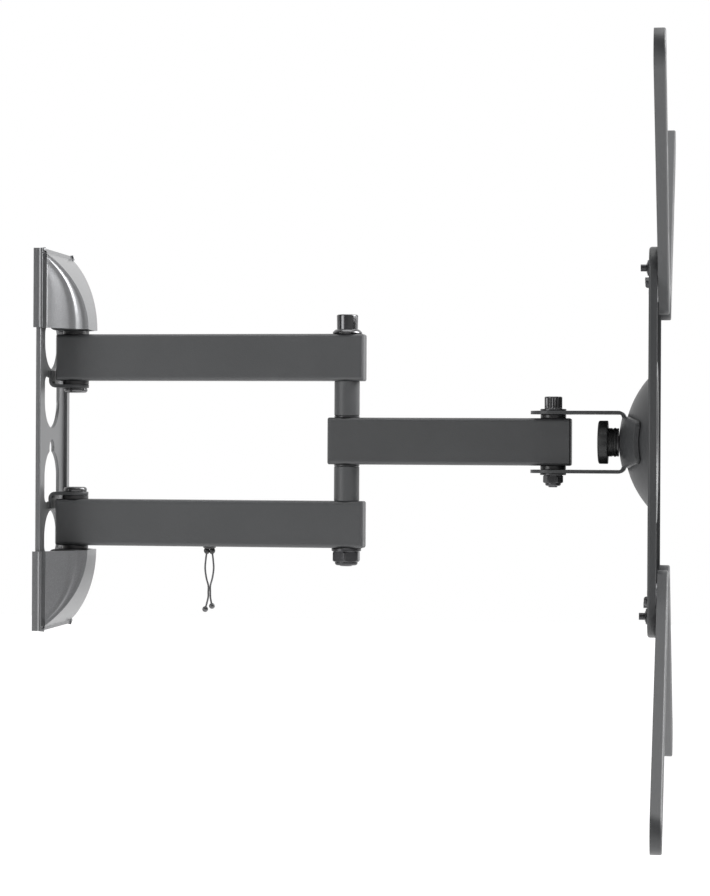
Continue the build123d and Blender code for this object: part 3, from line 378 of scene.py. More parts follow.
class Finishes(Enum):
    """Every finish on the mount."""

    TUBE_COAT = Finish(
        "tube_coat", (0.062, 0.064, 0.066), (0.082, 0.084, 0.087), 0.42, 0.04,
        specular=0.5, grain_scale=1500.0, bump=0.00004,
    )
    # Painted shade: the first arm's tube coat made darker, standing in for the dimmer light on the second
    # arm.
    SECOND_ARM_SHADED_COAT = Finish(
        "second_arm_painted_shade_coat", (0.054, 0.055, 0.057), (0.070, 0.072, 0.074), 0.42, 0.04,
        specular=0.5, grain_scale=1500.0, bump=0.00004,
    )
    PLATE_COAT = Finish(
        "plate_coat", (0.040, 0.041, 0.043), (0.056, 0.058, 0.060), 0.42, 0.05,
        grain_scale=1700.0, bump=0.00004,
    )
    WALL_COAT = Finish(
        "wall_plate_coat", (0.17, 0.172, 0.176), (0.25, 0.252, 0.258), 0.38, 0.05,
        metallic=0.75, grain_scale=1600.0, bump=0.00003, flakes=True,
    )
    COVER_PAINT = Finish(
        "cover_paint", (0.17, 0.172, 0.177), (0.29, 0.292, 0.30), 0.34, 0.03,
        metallic=0.7, coat=0.35, coat_roughness=0.12, grain_scale=900.0, bump=0.000012, flakes=True,
    )
    BLACK_NICKEL = Finish(
        "black_nickel", (0.09, 0.09, 0.092), (0.16, 0.16, 0.163), 0.2, 0.06,
        metallic=1.0, grain_scale=2600.0, bump=0.000006, cloud_scale=90.0, rings=True,
    )
    BLACK_ZINC = Finish(
        "black_zinc", (0.045, 0.045, 0.047), (0.10, 0.10, 0.104), 0.33, 0.07,
        metallic=0.9, grain_scale=2200.0, bump=0.00001, cloud_scale=120.0,
    )
    BRIGHT_ZINC = Finish(
        "bright_zinc", (0.42, 0.42, 0.43), (0.55, 0.55, 0.56), 0.3, 0.06,
        metallic=1.0, grain_scale=2200.0, bump=0.00001, cloud_scale=120.0, rings=True,
    )
    BUSH_NYLON = Finish(
        "bush_nylon", (0.012, 0.012, 0.013), (0.022, 0.022, 0.023), 0.3, 0.05,
        specular=0.6, grain_scale=1500.0, bump=0.00001,
    )
    CAP_PLASTIC = Finish(
        "cap_plastic", (0.060, 0.061, 0.064), (0.078, 0.079, 0.082), 0.45, 0.04,
        grain_scale=2100.0, bump=0.00004,
    )
    # Painted shade: the cap plastic made darker, standing in for the dimmer light on the second arm.
    SECOND_ARM_SHADED_CAP = Finish(
        "second_arm_painted_shade_cap", (0.056, 0.057, 0.059), (0.072, 0.074, 0.076), 0.45, 0.04,
        grain_scale=2100.0, bump=0.00004,
    )
    KNOB_PLASTIC = Finish(
        "knob_plastic", (0.014, 0.0145, 0.015), (0.024, 0.0245, 0.025), 0.48, 0.05,
        grain_scale=1300.0, bump=0.00006,
    )
    CLIP_WIRE = Finish(
        "clip_wire", (0.10, 0.10, 0.103), (0.17, 0.17, 0.175), 0.32, 0.05,
        metallic=0.8, grain_scale=2500.0, bump=0.00001,
    )
    BRASS = Finish(
        "turned_brass", (0.50, 0.36, 0.15), (0.62, 0.46, 0.20), 0.3, 0.05,
        metallic=1.0, grain_scale=2400.0, bump=0.00001, rings=True,
    )
    LINER_SHEET = Finish(
        "liner_sheet", (0.10, 0.10, 0.10), (0.14, 0.14, 0.14), 0.55, 0.05,
        grain_scale=1500.0, bump=0.00004,
    )


class Workshop:
    """Makes materials once each, and dresses frame nodes and new pieces with them."""

    def __init__(self) -> None:
        """Start with no materials."""
        self.effects = EffectLibrary()
        self.made: dict[Finishes, bpy.types.Material] = {}

    def material(self, finish: Finishes) -> bpy.types.Material:
        """Give the material of a finish, made at its first use.

        Args:
            finish: the finish.

        Returns:
            Its material.
        """
        if finish not in self.made:
            self.made[finish] = finish.value.build(self.effects)
        return self.made[finish]

    def dress(self, node: str, finish: Finishes, soften: float = 0.0) -> None:
        """Put a finish on a frame node.

        Args:
            node: the node's name.
            finish: its finish.
            soften: width in metres of the bevel on its sharp edges, or 0 for none.
        """
        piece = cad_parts[node]
        piece.data.materials.clear()
        piece.data.materials.append(self.material(finish))
        if soften:
            weld = piece.modifiers.new("join_edges", "WELD")
            weld.merge_threshold = 0.000001
            bevel = piece.modifiers.new("soft_edges", "BEVEL")
            bevel.width = soften
            bevel.segments = 2
            bevel.limit_method = "ANGLE"
            bevel.angle_limit = SHARP_ANGLE
            bevel.harden_normals = True
        LOG.info("dressed %s with %s", node, finish.value.name)

    def dress_all(self, finish: Finishes, *nodes: str, soften: float = 0.0) -> None:
        """Put one finish on several frame nodes.

        Args:
            finish: their finish.
            *nodes: the nodes' names.
            soften: width in metres of the bevel on their sharp edges, or 0 for none.
        """
        for node in nodes:
            self.dress(node, finish, soften)

    def finish_piece(
        self, piece: bpy.types.Object, finish: Finishes, body: str, slot: str, replaces: Sequence[str] = (),
    ) -> None:
        """Give a new piece its finish, its body and the frame nodes it stands for.

        Args:
            piece: the new object, already in place.
            finish: its finish.
            body: the body it moves with.
            slot: not used.
            replaces: frame nodes it stands for.
        """
        piece.data.materials.clear()
        piece.data.materials.append(self.material(finish))
        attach(piece, body)
        if replaces:
            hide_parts(*replaces)
        LOG.info("made %s on %s", piece.name, body)

    def make_piece(
        self, name: str, shape: object, places: Sequence[Matrix], finish: Finishes, body: str, slot: str,
        node: str,
    ) -> None:
        """Build one piece from copies of a shape, in place of one frame node.

        Args:
            name: the piece's name.
            shape: a fastener or ring stack, with an add_to method.
            places: where each copy stands.
            finish: its finish.
            body: the body it moves with.
            slot: handed on to finish_piece, which does not use it.
            node: the frame node it stands for.
        """
        mesh = bmesh.new()
        for place in places:
            shape.add_to(mesh, place)
        self.finish_piece(new_object(name, mesh), finish, body, slot, [node])


# ---------------------------------------------------------------- mesh makers


def new_object(name: str, mesh: bmesh.types.BMesh, smooth: float = SHARP_ANGLE) -> bpy.types.Object:
    """Turn a bmesh into an object with smooth shading and sharp edges kept.

    Args:
        name: the object's name.
        mesh: its geometry, which is freed.
        smooth: faces that meet at a smaller angle than this shade as one surface.

    Returns:
        The new object, linked to the scene.
    """
    bmesh.ops.remove_doubles(mesh, verts=mesh.verts, dist=1e-7)
    bmesh.ops.recalc_face_normals(mesh, faces=mesh.faces)
    for face in mesh.faces:
        face.smooth = True
    for edge in mesh.edges:
        edge.smooth = len(edge.link_faces) == 2 and edge.calc_face_angle(0.0) < smooth
    data = bpy.data.meshes.new(name)
    mesh.to_mesh(data)
    mesh.free()
    piece = bpy.data.objects.new(name, data)
    bpy.context.scene.collection.objects.link(piece)
    return piece


def round_radius(radius: float) -> RadiusAt:
    """Give the radius of a circle at any angle.

    Args:
        radius: the circle's radius.

    Returns:
        A function from angle to radius.
    """
    return lambda angle: radius


def hexagon_radius(across_flats: float, limit: float = math.inf) -> RadiusAt:
    """Give the radius of a hexagon at any angle.

    Args:
        across_flats: the hexagon's width.
        limit: largest radius, where a chamfer cuts the corners.

    Returns:
        A function from angle to radius.
    """
    sixth = math.pi / 3

    def radius(angle: float) -> float:
        """Distance from the middle to the hexagon's side.

        Args:
            angle: the direction, in radians.

        Returns:
            The distance.
        """
        turn = (angle + sixth / 2) % sixth - sixth / 2
        return min(across_flats / 2 / math.cos(turn), limit)

    return radius


def ridged_radius(radius: float, depth: float, count: int, sharp: float = 1.0) -> RadiusAt:
    """Give the radius of a circle with ridges or flutes round it.

    Args:
        radius: outer radius.
        depth: depth of the hollows.
        count: how many there are.
        sharp: over 1 makes the hollows narrower.

    Returns:
        A function from angle to radius.
    """
    return lambda angle: radius - depth * (0.5 + 0.5 * math.cos(count * angle)) ** sharp


def thread_radius(radius: float, depth: float, pitch: float, height: float) -> RadiusAt:
    """Give the radius of a screw thread's section at one height.

    Args:
        radius: crest radius.
        depth: depth of the groove.
        pitch: height of one turn.
        height: how far along the thread the section is.

    Returns:
        A function from angle to radius.
    """

    def radius_at(angle: float) -> float:
        """Radius of the thread.

        Args:
            angle: the direction, in radians.

        Returns:
            The radius there.
        """
        phase = (height / pitch - angle / math.tau) % 1.0
        return radius - depth * (1 - abs(2 * phase - 1))

    return radius_at


@dataclass
class RingStack:
    """A closed skin through rings stacked along an axis, as a lathe or a tap makes.

    Each ring is its height along the axis and its radius at every angle.
    """

    steps: int = 96
    rings: list[tuple[float, RadiusAt]] = field(default_factory=list)

    def ring(self, height: float, radius: float | RadiusAt) -> "RingStack":
        """Add a ring.

        Args:
            height: place along the axis.
            radius: a number for a circle, or a function from angle to radius.

        Returns:
            The stack, so that calls can follow each other.
        """
        self.rings.append((height, radius if callable(radius) else round_radius(radius)))
        return self

    def corner(self, height: float, radius: float, size: float, inward: int, rising: int) -> "RingStack":
        """Add a rounded corner of a few rings.

        Args:
            height: height of the corner's point.
            radius: radius of the corner's point.
            size: radius of the rounding.
            inward: 1 if the skin then turns inwards, -1 if it came from the inside.
            rising: 1 at the top of a piece, -1 at its foot.

        Returns:
            The stack.
        """
        for step in range(5):
            turn = math.pi / 2 * (step / 4 if inward > 0 else 1 - step / 4)
            self.ring(height - rising * size * (1 - math.sin(turn)), radius - size * (1 - math.cos(turn)))
        return self

    def thread(self, start: float, end: float, radius: float, pitch: float) -> "RingStack":
        """Add a screw thread between two heights.

        Args:
            start: first height.
            end: last height.
            radius: crest radius.
            pitch: height of one turn.

        Returns:
            The stack.
        """
        count = max(2, int(abs(end - start) / pitch * 8))
        for step in range(count + 1):
            height = start + (end - start) * step / count
            self.ring(height, thread_radius(radius, pitch * 0.5, pitch, height))
        return self

    def add_to(self, mesh: bmesh.types.BMesh, place: Matrix) -> None:
        """Put the skin into a mesh.

        Args:
            mesh: the mesh to add to.
            place: moves the stack's own axis, Z, to where the piece is.
        """
        rows = []
        for height, radius in self.rings:
            row = []
            for step in range(self.steps):
                angle = math.tau * step / self.steps
                reach = radius(angle)
                point = Vector((reach * math.cos(angle), reach * math.sin(angle), height))
                row.append(mesh.verts.new(place @ point))
            rows.append(row)
        for low, high in zip(rows, rows[1:]):
            for step in range(self.steps):
                after = (step + 1) % self.steps
                mesh.faces.new((low[step], low[after], high[after], high[step]))
        for row in (rows[0], rows[-1]):
            middle = mesh.verts.new(sum((v.co for v in row), Vector()) / len(row))
            for step in range(self.steps):
                mesh.faces.new((row[step], row[(step + 1) % self.steps], middle))


def smooth_path(points: Sequence[Point], steps: int) -> list[Vector]:
    """Points along a smooth curve through the given ones.

    Args:
        points: the points to pass through.
        steps: how many steps between each two.

    Returns:
        The curve's points.
    """
    known = [Vector(p) for p in points]
    ends = [known[0] * 2 - known[1], *known, known[-1] * 2 - known[-2]]
    path = []
    for before, here, there, after in zip(ends, ends[1:], ends[2:], ends[3:]):
        for step in range(steps):
            t = step / steps
            path.append(
                0.5 * (
                    2 * here + (there - before) * t
                    + (2 * before - 5 * here + 4 * there - after) * t**2
                    + (3 * here - before - 3 * there + after) * t**3
                )
            )
    path.append(known[-1])
    return path


def add_tube(
    mesh: bmesh.types.BMesh, path: Sequence[Vector], radii: Sequence[float], sides: int = 16
) -> None:
    """Add a round tube of changing radius along a path.

    Args:
        mesh: the mesh to add to.
        path: the tube's middle line.
        radii: the tube's radius at each point.
        sides: sides of its section.
    """
    rows = []
    steep = abs((path[1] - path[0]).normalized().y) >= 0.9
    guide = Vector(UP) if steep else Vector((0.0, 1.0, 0.0))
    for index, point in enumerate(path):
        ahead = path[min(index + 1, len(path) - 1)]
        behind = path[max(index - 1, 0)]
        along = (ahead - behind).normalized()
        side = along.cross(guide).normalized()
        guide = side.cross(along).normalized()
        row = []
        for step in range(sides):
            angle = math.tau * step / sides
            offset = side * math.cos(angle) + guide * math.sin(angle)
            row.append(mesh.verts.new(point + offset * radii[index]))
        rows.append(row)
    for low, high in zip(rows, rows[1:]):
        for step in range(sides):
            after = (step + 1) % sides
            mesh.faces.new((low[step], low[after], high[after], high[step]))
    for row in (rows[0], rows[-1]):
        mesh.faces.new(row)


def weld_bead(mesh: bmesh.types.BMesh, path: Sequence[Vector], radius: float) -> None:
    """Add a rippled weld bead along a path.

    Args:
        mesh: the mesh to add to.
        path: the bead's middle line.
        radius: its usual radius.
    """
    ripples = (0.14 * math.sin(index * 2.1) + 0.05 * math.sin(index * 0.73) for index in range(len(path)))
    radii = [radius * (1 + ripple) for ripple in ripples]
    radii[0] = radii[-1] = radius * 0.35
    add_tube(mesh, path, radii, sides=10)


def axis_place(point: Point, up: Point) -> Matrix:
    """Matrix that stands a ring stack's Z axis at a point, along a direction.

    Args:
        point: where its origin goes.
        up: which way its Z axis points.

    Returns:
        The matrix.
    """
    return Matrix.Translation(point) @ Vector(up).to_track_quat("Z", "Y").to_matrix().to_4x4()


def middle_of(node: str) -> Vector:
    """Middle of a frame node's box.

    Args:
        node: the node's name.

    Returns:
        The middle.
    """
    low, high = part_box(node)
    return (Vector(low) + Vector(high)) / 2


# ---------------------------------------------------------------- fasteners


@dataclass
class SocketScrew:
    """Socket head screw: its head with a hexagon recess, and its shank."""

    head: float
    height: float
    shank: float
    length: float
    socket: float
    knurls: int = 0
    knurl_depth: float = 0.0
    button: bool = False

    def add_to(self, mesh: bmesh.types.BMesh, place: Matrix) -> None:
        """Add the screw with the underside of its head at z = 0 and its shank below.

        Args:
            mesh: the mesh to add to.
            place: where the screw stands.
        """
        top = self.height
        edge = self.height * (0.55 if self.button else 0.09)
        radius = self.head / 2
        stack = RingStack(steps=max(96, self.knurls * 6))
        stack.ring(-self.length, self.shank * 0.42)
        stack.ring(-self.length + self.shank * 0.08, self.shank / 2)
        stack.ring(0.0, self.shank / 2)
        stack.ring(0.0, radius - edge * 0.2)
        if self.knurls:
            skirt = ridged_radius(radius, self.knurl_depth, self.knurls)
            stack.ring(edge * 0.3, radius)
            stack.ring(edge, skirt)
            stack.ring(top - edge * 1.3, skirt)
        stack.ring(top - edge, radius)
        stack.corner(top, radius, edge, inward=1, rising=1)
        rim = self.socket * 0.62
        stack.ring(top, rim)
        stack.ring(top - self.height * 0.06, hexagon_radius(self.socket))
        stack.ring(top - self.height * 0.55, hexagon_radius(self.socket))
        stack.ring(top - self.height * 0.62, self.socket * 0.2)
        stack.add_to(mesh, place)


@dataclass
class LockNut:
    """Hexagon lock nut with chamfered corners, a collar and the screw's end in it."""

    across_flats: float
    height: float
    screw: float
    pitch: float
    tip: float

    def add_to(self, mesh: bmesh.types.BMesh, place: Matrix) -> None:
        """Add the nut standing on z = 0.

        Args:
            mesh: the mesh to add to.
            place: where the nut stands.
        """
        corner = self.across_flats / 2 / math.cos(math.pi / 6)
        flat = self.across_flats / 2
        body = self.height * 0.74
        bevel = (corner - flat) * 0.62
        stack = RingStack(steps=120)
        stack.ring(0.0, flat * 0.97)
        for step in range(4):
            rise = step / 3
            limit = flat + (corner - flat) * (0.05 + 0.95 * rise)
            stack.ring(bevel * rise, hexagon_radius(self.across_flats, limit))
        for step in range(4):
            drop = step / 3
            limit = corner - (corner - flat) * 1.05 * drop
            stack.ring(body - bevel * (1 - drop), hexagon_radius(self.across_flats, limit))
        collar = flat * 0.9
        stack.ring(body, collar)
        stack.corner(self.height, collar, self.height * 0.16, inward=1, rising=1)
        stack.ring(self.height, self.screw * 0.56)
        stack.ring(self.height - self.screw * 0.08, self.screw * 0.5)
        start = self.height - self.screw * 0.08
        stack.thread(start, self.height + self.tip * 0.7, self.screw * 0.49, self.pitch)
        stack.ring(self.height + self.tip, self.screw * 0.4)
        stack.add_to(mesh, place)


@dataclass
class SpeedNut:
    """Thin round speed nut with a raised middle, and the thread of the screw that stands out of it."""

    outside: float
    height: float
    screw: float
    pitch: float
    tip: float

    def add_to(self, mesh: bmesh.types.BMesh, place: Matrix) -> None:
        """Add the nut with its rim on z = 0.

        Args:
            mesh: the mesh to add to.
            place: where the nut stands.
        """
        stack = RingStack(steps=72)
        stack.ring(0.0, self.outside * 0.47)
        stack.ring(self.height * 0.15, self.outside * 0.5)
        stack.ring(self.height * 0.45, self.outside * 0.5)
        stack.ring(self.height * 0.6, self.outside * 0.47)
        stack.ring(self.height * 0.66, self.outside * 0.38)
        stack.ring(self.height, self.outside * 0.30)
        stack.ring(self.height, self.screw * 0.53)
        stack.thread(self.height * 0.98, self.height + self.tip * 0.92, self.screw * 0.53, self.pitch)
        stack.add_to(mesh, place)


# ---------------------------------------------------------------- sub-assemblies


@dataclass
class WallEnd:
    """Wall plate, its lugs, their welds and the two wall pivot bolts."""

    shop: Workshop
    bead: float = 0.8 * MM

    def build(self) -> None:
        """Dress the plate and lugs, and make the welds and bolts."""
        self.shop.dress("wall_plate", Finishes.WALL_COAT, soften=0.3 * MM)
        self.shop.dress_all(Finishes.PLATE_COAT, "inner_wall_lugs", "outer_wall_lugs", soften=0.25 * MM)
        self.shop.dress_all(Finishes.BLACK_ZINC, "wall_pivot_nuts", "wall_pivot_washers")
        self.make_welds()
        self.make_bolts()

    def make_welds(self) -> None:
        """Weld beads down both sides of each lug's foot."""
        mesh = bmesh.new()
        length = WALL_LUG_FOOT - 2 * SHEET
        for node in ("inner_wall_lugs", "outer_wall_lugs"):
            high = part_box(node)[1]
            for up in (-1, 1):
                start = high[2] * up
                end = start - length * up
                for side in (-1, 1):
                    across = side * (high[1] + self.bead * 0.3)
                    path = [Vector((SHEET, across, start + (end - start) * step / 14)) for step in range(15)]
                    weld_bead(mesh, path, self.bead)
        piece = new_object("lug_welds", mesh)
        self.shop.finish_piece(piece, Finishes.PLATE_COAT, "wall_frame", "graphite_plate")

    def make_bolts(self) -> None:
        """Both wall pivot bolts as one piece of two screws."""
        low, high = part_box("wall_pivot_bolts")
        x = middle_of("wall_pivot_bolts").x
        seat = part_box("inner_wall_lugs")[1][2] - WALL_LUG_FOOT - SHEET
        screw = SocketScrew(
            head=high[0] - low[0], height=3.0 * MM, shank=8.0 * MM, length=high[2] - seat,
            socket=5.0 * MM, button=True,
        )
        places = [axis_place((x, 0.0, up * seat), (0.0, 0.0, -up)) for up in (-1, 1)]
        self.shop.make_piece(
            "pivot_button_bolts", screw, places, Finishes.BLACK_NICKEL, "wall_frame", "black_steel",
            "wall_pivot_bolts",
        )


@dataclass
class Cover:
    """Moulded cover over one end of the wall plate: skirt, groove and arched hood."""

    shop: Workshop
    node: str
    up: int
    body: str
    base_half: float = 33.7 * MM
    base_x: float = 4.4 * MM
    slope: float = 0.983
    arc: float = 59.0 * MM
    skirt_depth: float = 5.6 * MM
    skirt_round: float = 0.4 * MM
    ledge: float = 0.5 * MM
    groove_depth: float = 1.0 * MM
    groove_reach: float = 1.3 * MM
    moulding: tuple[tuple[float, float], ...] = (
        (0.0, 0.0), (1.0, -0.1), (3.4, -0.75), (4.7, -0.65), (6.2, 0.25), (10.5, -0.7), (19.0, 0.0),
    )
    wall: float = 1.4 * MM
    rows: int = 44
    side_columns: int = 54
    front_columns: int = 10

    def half_width(self, x: float) -> float:
        """Half width of the hood's plain sloping side.

        Args:
            x: distance from the wall.

        Returns:
            The half width there.
        """
        return self.base_half - self.slope * (x - self.base_x)

    def moulded(self, inside: float) -> float:
        """How far the moulding near the front edge stands out from the plain side.

        Args:
            inside: distance back from the front edge.

        Returns:
            The distance outwards, negative where the moulding is hollow.
        """
        for (near, near_out), (far, far_out) in zip(self.moulding, self.moulding[1:]):
            if inside <= far * MM:
                share = (inside / MM - near) / (far - near)
                share = share * share * (3 - 2 * share)
                return (near_out + (far_out - near_out) * share) * MM
        return 0.0

    def side_row(self, x_front: float, skirt_half: float) -> list[tuple[float, float]]:
        """One side of a section, from the wall over the skirt and groove to the front edge.

        Args:
            x_front: distance of the front face from the wall in this section.
            skirt_half: half width of the skirt.

        Returns:
            Points as distance from the wall and place across.
        """
        side = [(0.0, skirt_half)]
        for step in range(5):
            turn = math.pi / 2 * step / 4
            side.append((
                self.skirt_depth - self.skirt_round * (1 - math.sin(turn)),
                skirt_half - self.skirt_round * (1 - math.cos(turn)),
            ))
        groove_x = self.skirt_depth - self.groove_depth
        edge_x = min(self.skirt_depth + self.groove_reach, x_front)
        edge_half = self.half_width(edge_x)
        side.append((self.skirt_depth - 0.05 * MM, skirt_half - self.ledge))
        side.append((groove_x, skirt_half - self.ledge - 0.2 * MM))
        side.append((groove_x, edge_half + 0.25 * MM))
        side.append((min(edge_x, self.skirt_depth + self.groove_reach * 0.75), edge_half - 0.05 * MM))
        span = x_front - edge_x
        fade = min(1.0, span / (12 * MM))
        stretch = 0.5 + 0.5 * min(1.0, span / (20.7 * MM)) ** 3
        side.append((edge_x, edge_half + 0.3 * MM * fade))
        for step in range(1, self.side_columns + 1):
            x = edge_x + span * step / self.side_columns
            side.append((x, self.half_width(x) + fade * stretch * self.moulded((x_front - x) / stretch)))
        return side

    def row(self, x_front: float, skirt_half: float) -> list[tuple[float, float]]:
        """One section of the cover, from its left edge at the wall round to its right one.

        Args:
            x_front: distance of the front face from the wall in this section.
            skirt_half: half width of the skirt.

        Returns:
            Points as distance from the wall and place across.
        """
        side = self.side_row(x_front, skirt_half)
        nose = side[-1][1]
        steps = range(1, self.front_columns)
        front = [(x_front, nose - 2 * nose * step / self.front_columns) for step in steps]
        return side + front + [(x, -y) for x, y in reversed(side)]

    def build(self) -> None:
        """Make the cover and put it in place of its plain node."""
        low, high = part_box(self.node)
        depth = high[0] - low[0]
        inner = min(abs(low[2]), abs(high[2]))
        outer = max(abs(low[2]), abs(high[2]))
        mesh = bmesh.new()
        sections = []
        for index in range(self.rows + 1):
            z = inner + (outer - inner) * math.sin(index / self.rows * math.pi / 2)
            arch = depth - self.arc + math.sqrt(self.arc**2 - (z - inner) ** 2)
            sections.append((z, self.row(max(arch, self.skirt_depth + 0.02 * MM), high[1])))
        closing = [(0.0, y) for _, y in sections[-1][1]]
        grid = [
            [mesh.verts.new((x, y, self.up * z)) for x, y in section]
            for z, section in sections + [(outer, closing)]
        ]
        for low_row, high_row in zip(grid, grid[1:]):
            for step in range(len(low_row) - 1):
                mesh.faces.new((low_row[step], low_row[step + 1], high_row[step + 1], high_row[step]))
        piece = new_object(f"{self.node}_hood", mesh)
        shell = piece.modifiers.new("wall", "SOLIDIFY")
        shell.thickness = self.wall
        shell.offset = -1.0
        soft = piece.modifiers.new("soft_edges", "BEVEL")
        soft.width = 0.25 * MM
        soft.segments = 2
        soft.limit_method = "ANGLE"
        soft.angle_limit = math.radians(42)
        soft.harden_normals = True
        self.shop.finish_piece(piece, Finishes.COVER_PAINT, self.body, "cover_plastic", [self.node])


@dataclass
class FirstArm:
    """The two first-arm tubes, their caps and bushes."""

    shop: Workshop

    def build(self) -> None:
        """Dress the tubes and what is on them."""
        self.shop.dress_all(Finishes.TUBE_COAT, "upper_arm_tube", "lower_arm_tube")
        self.shop.dress("first_arm_end_caps", Finishes.CAP_PLASTIC)
        self.shop.dress("wall_end_bushes", Finishes.BUSH_NYLON)


@dataclass
class Elbow:
    """Elbow bolt with its dished washer, spacers, sleeves and lock nut."""

    shop: Workshop

    def build(self) -> None:
        """Make the bolt, washer and nut, and dress the rest."""
        self.shop.dress("elbow_spacers", Finishes.TUBE_COAT)
        self.shop.dress("elbow_sleeves", Finishes.BRIGHT_ZINC)
        self.shop.dress("elbow_low_washer", Finishes.BLACK_ZINC)
        self.shop.dress("elbow_bushes", Finishes.BUSH_NYLON)
        self.make_bolt()
        self.make_washer()
        self.make_nut()

    def make_bolt(self) -> None:
        """Large socket head screw that the second arm turns on."""
        low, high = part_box("elbow_bolt")
        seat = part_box("elbow_top_washer")[1][2]
        nut_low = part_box("elbow_lock_nut")[0][2]
        screw = SocketScrew(
            head=high[0] - low[0], height=high[2] - seat, shank=7.9 * MM, length=seat - nut_low - 2 * MM,
            socket=6.0 * MM,
        )
        places = [axis_place((middle_of("elbow_bolt").x, 0.0, seat), UP)]
        self.shop.make_piece(
            "elbow_socket_bolt", screw, places, Finishes.BLACK_NICKEL, "first_arm", "black_steel",
            "elbow_bolt",
        )

    def make_washer(self) -> None:
        """Dished washer under the bolt's head."""
        low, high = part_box("elbow_top_washer")
        radius = (high[0] - low[0]) / 2
        height = high[2] - low[2]
        stack = RingStack(steps=96)
        stack.ring(0.0, 4.1 * MM)
        stack.ring(0.0, radius * 0.93)
        stack.ring(height * 0.2, radius)
        stack.ring(height * 0.42, radius * 0.985)
        for step in range(1, 9):
            t = step / 8
            stack.ring(height * (0.42 + 0.58 * math.sin(t * math.pi / 2)), radius * (0.985 - 0.24 * t))
        stack.ring(height, 4.1 * MM)
        places = [axis_place((middle_of("elbow_top_washer").x, 0.0, low[2]), UP)]
        self.shop.make_piece(
            "elbow_dished_washer", stack, places, Finishes.BLACK_NICKEL, "first_arm", "black_steel",
            "elbow_top_washer",
        )

    def make_nut(self) -> None:
        """Lock nut under the lower tube."""
        low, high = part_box("elbow_lock_nut")
        nut = LockNut(
            across_flats=high[1] - low[1], height=high[2] - low[2], screw=8.0 * MM, pitch=1.25 * MM,
            tip=0.5 * MM,
        )
        places = [axis_place((middle_of("elbow_lock_nut").x, 0.0, high[2]), DOWN)]
        self.shop.make_piece(
            "elbow_hex_nut", nut, places, Finishes.BLACK_ZINC, "first_arm", "black_steel", "elbow_lock_nut"
        )


@dataclass
class CableClip:
    """Sprung wire clip that hangs in the lower tube and holds the cables."""

    shop: Workshop
    wire: float = 0.55 * MM
    ball: float = 1.8 * MM
    lobe: float = 1.8 * MM

    def leg(
        self, mesh: bmesh.types.BMesh, side: int, tip: Point, top: Point, eye_half: float, eye: float
    ) -> None:
        """Add one leg of the clip, from its anchor to its ball end.

        Args:
            mesh: the mesh to add to.
            side: 1 for the leg away from the wall, -1 for the other.
            tip: centre of the ball end.
            top: where the leg leaves the anchor.
            eye_half: half width of the eye.
            eye: height of the eye.
        """
        x, y, z = top
        points = [
            (x + side * self.lobe * 0.9, y, z),
            (x + side * eye_half * 0.86, y, z - eye * 0.24),
            (x + side * eye_half, y, z - eye * 0.5),
            (x + side * eye_half * 0.72, y, z - eye * 0.77),
            (x + side * self.wire * 1.2, y, z - eye),
            (x + side * self.wire * 1.15, y, z - eye - 4.0 * MM),
            (x + side * self.wire * 1.4, y, z - eye - 7.6 * MM),
            tip,
        ]
        path = smooth_path(points, 9)
        end = Vector(tip)
        along = (path[-1] - path[-2]).normalized()
        trimmed = [p for p in path if (p - end).length > self.ball]
        ball = [end + along * self.ball * math.sin(s * math.pi / 14 - math.pi / 2) for s in range(15)]
        radii = [self.wire] * len(trimmed)
        for step in range(15):
            least = self.wire if step < 7 else 0.02 * MM
            radii.append(max(self.ball * math.cos(step * math.pi / 14 - math.pi / 2), least))
        add_tube(mesh, trimmed + ball, radii, sides=20)

    def build(self) -> None:
        """Make the legs and the anchor."""
        low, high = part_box("cable_clip_legs")
        anchor_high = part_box("cable_clip_anchor")[1]
        x = middle_of("cable_clip_anchor").x
        top_z = high[2] - self.wire
        mesh = bmesh.new()
        right_tip = (x + 1.7 * MM, 0.0, low[2] + 2.0 * MM + self.ball)
        left_tip = (x - 2.5 * MM, 0.0, low[2] + self.ball)
        eye_half = 2.65 * MM
        for side, tip in ((1, right_tip), (-1, left_tip)):
            self.leg(mesh, side, tip, (x, 0.0, top_z), eye_half, 21.0 * MM)
        piece = new_object("clip_spring_legs", mesh)
        self.shop.finish_piece(piece, Finishes.CLIP_WIRE, "cable_clip", "black_steel", ["cable_clip_legs"])

        mesh = bmesh.new()
        head_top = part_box("lower_arm_tube")[0][2] - 0.1 * MM
        stack = RingStack(steps=64)
        stack.ring(head_top - 1.5 * MM, 2.2 * MM)
        stack.ring(head_top - 1.0 * MM, 3.4 * MM)
        stack.corner(head_top, 4.0 * MM, 0.45 * MM, inward=1, rising=1)
        stack.ring(head_top, 2.4 * MM)
        stack.ring(anchor_high[2] - 2.4 * MM, 2.4 * MM)
        stack.ring(anchor_high[2] - 2.2 * MM, 3.0 * MM)
        stack.ring(anchor_high[2], 1.9 * MM)
        stack.add_to(mesh, axis_place((x, 0.0, 0.0), (0.0, 0.0, 1.0)))
        for side in (-1, 1):
            lobe = RingStack(steps=40)
            for step in range(13):
                turn = math.pi * step / 12
                lobe.ring(-math.cos(turn) * self.lobe * 1.15, max(math.sin(turn), 0.02) * self.lobe)
            point = (x + side * self.lobe * 0.95, 0.0, top_z + 0.2 * MM)
            lobe.add_to(mesh, axis_place(point, (side * 0.35, 0.0, 1.0)))
        piece = new_object("clip_snap_anchor", mesh)
        self.shop.finish_piece(
            piece, Finishes.BUSH_NYLON, "cable_clip", "black_plastic", ["cable_clip_anchor"]
        )


@dataclass
class SecondArm:
    """Second-arm tube with its caps and bushes."""

    shop: Workshop

    def build(self) -> None:
        """Dress the tube and what is on it."""
        # The tube and its end caps take darker copies of the first arm's finishes: painted shade.
        self.shop.dress("second_arm_tube", Finishes.SECOND_ARM_SHADED_COAT)
        self.shop.dress("second_arm_end_caps", Finishes.SECOND_ARM_SHADED_CAP)
        self.shop.dress("head_bushes", Finishes.BUSH_NYLON)


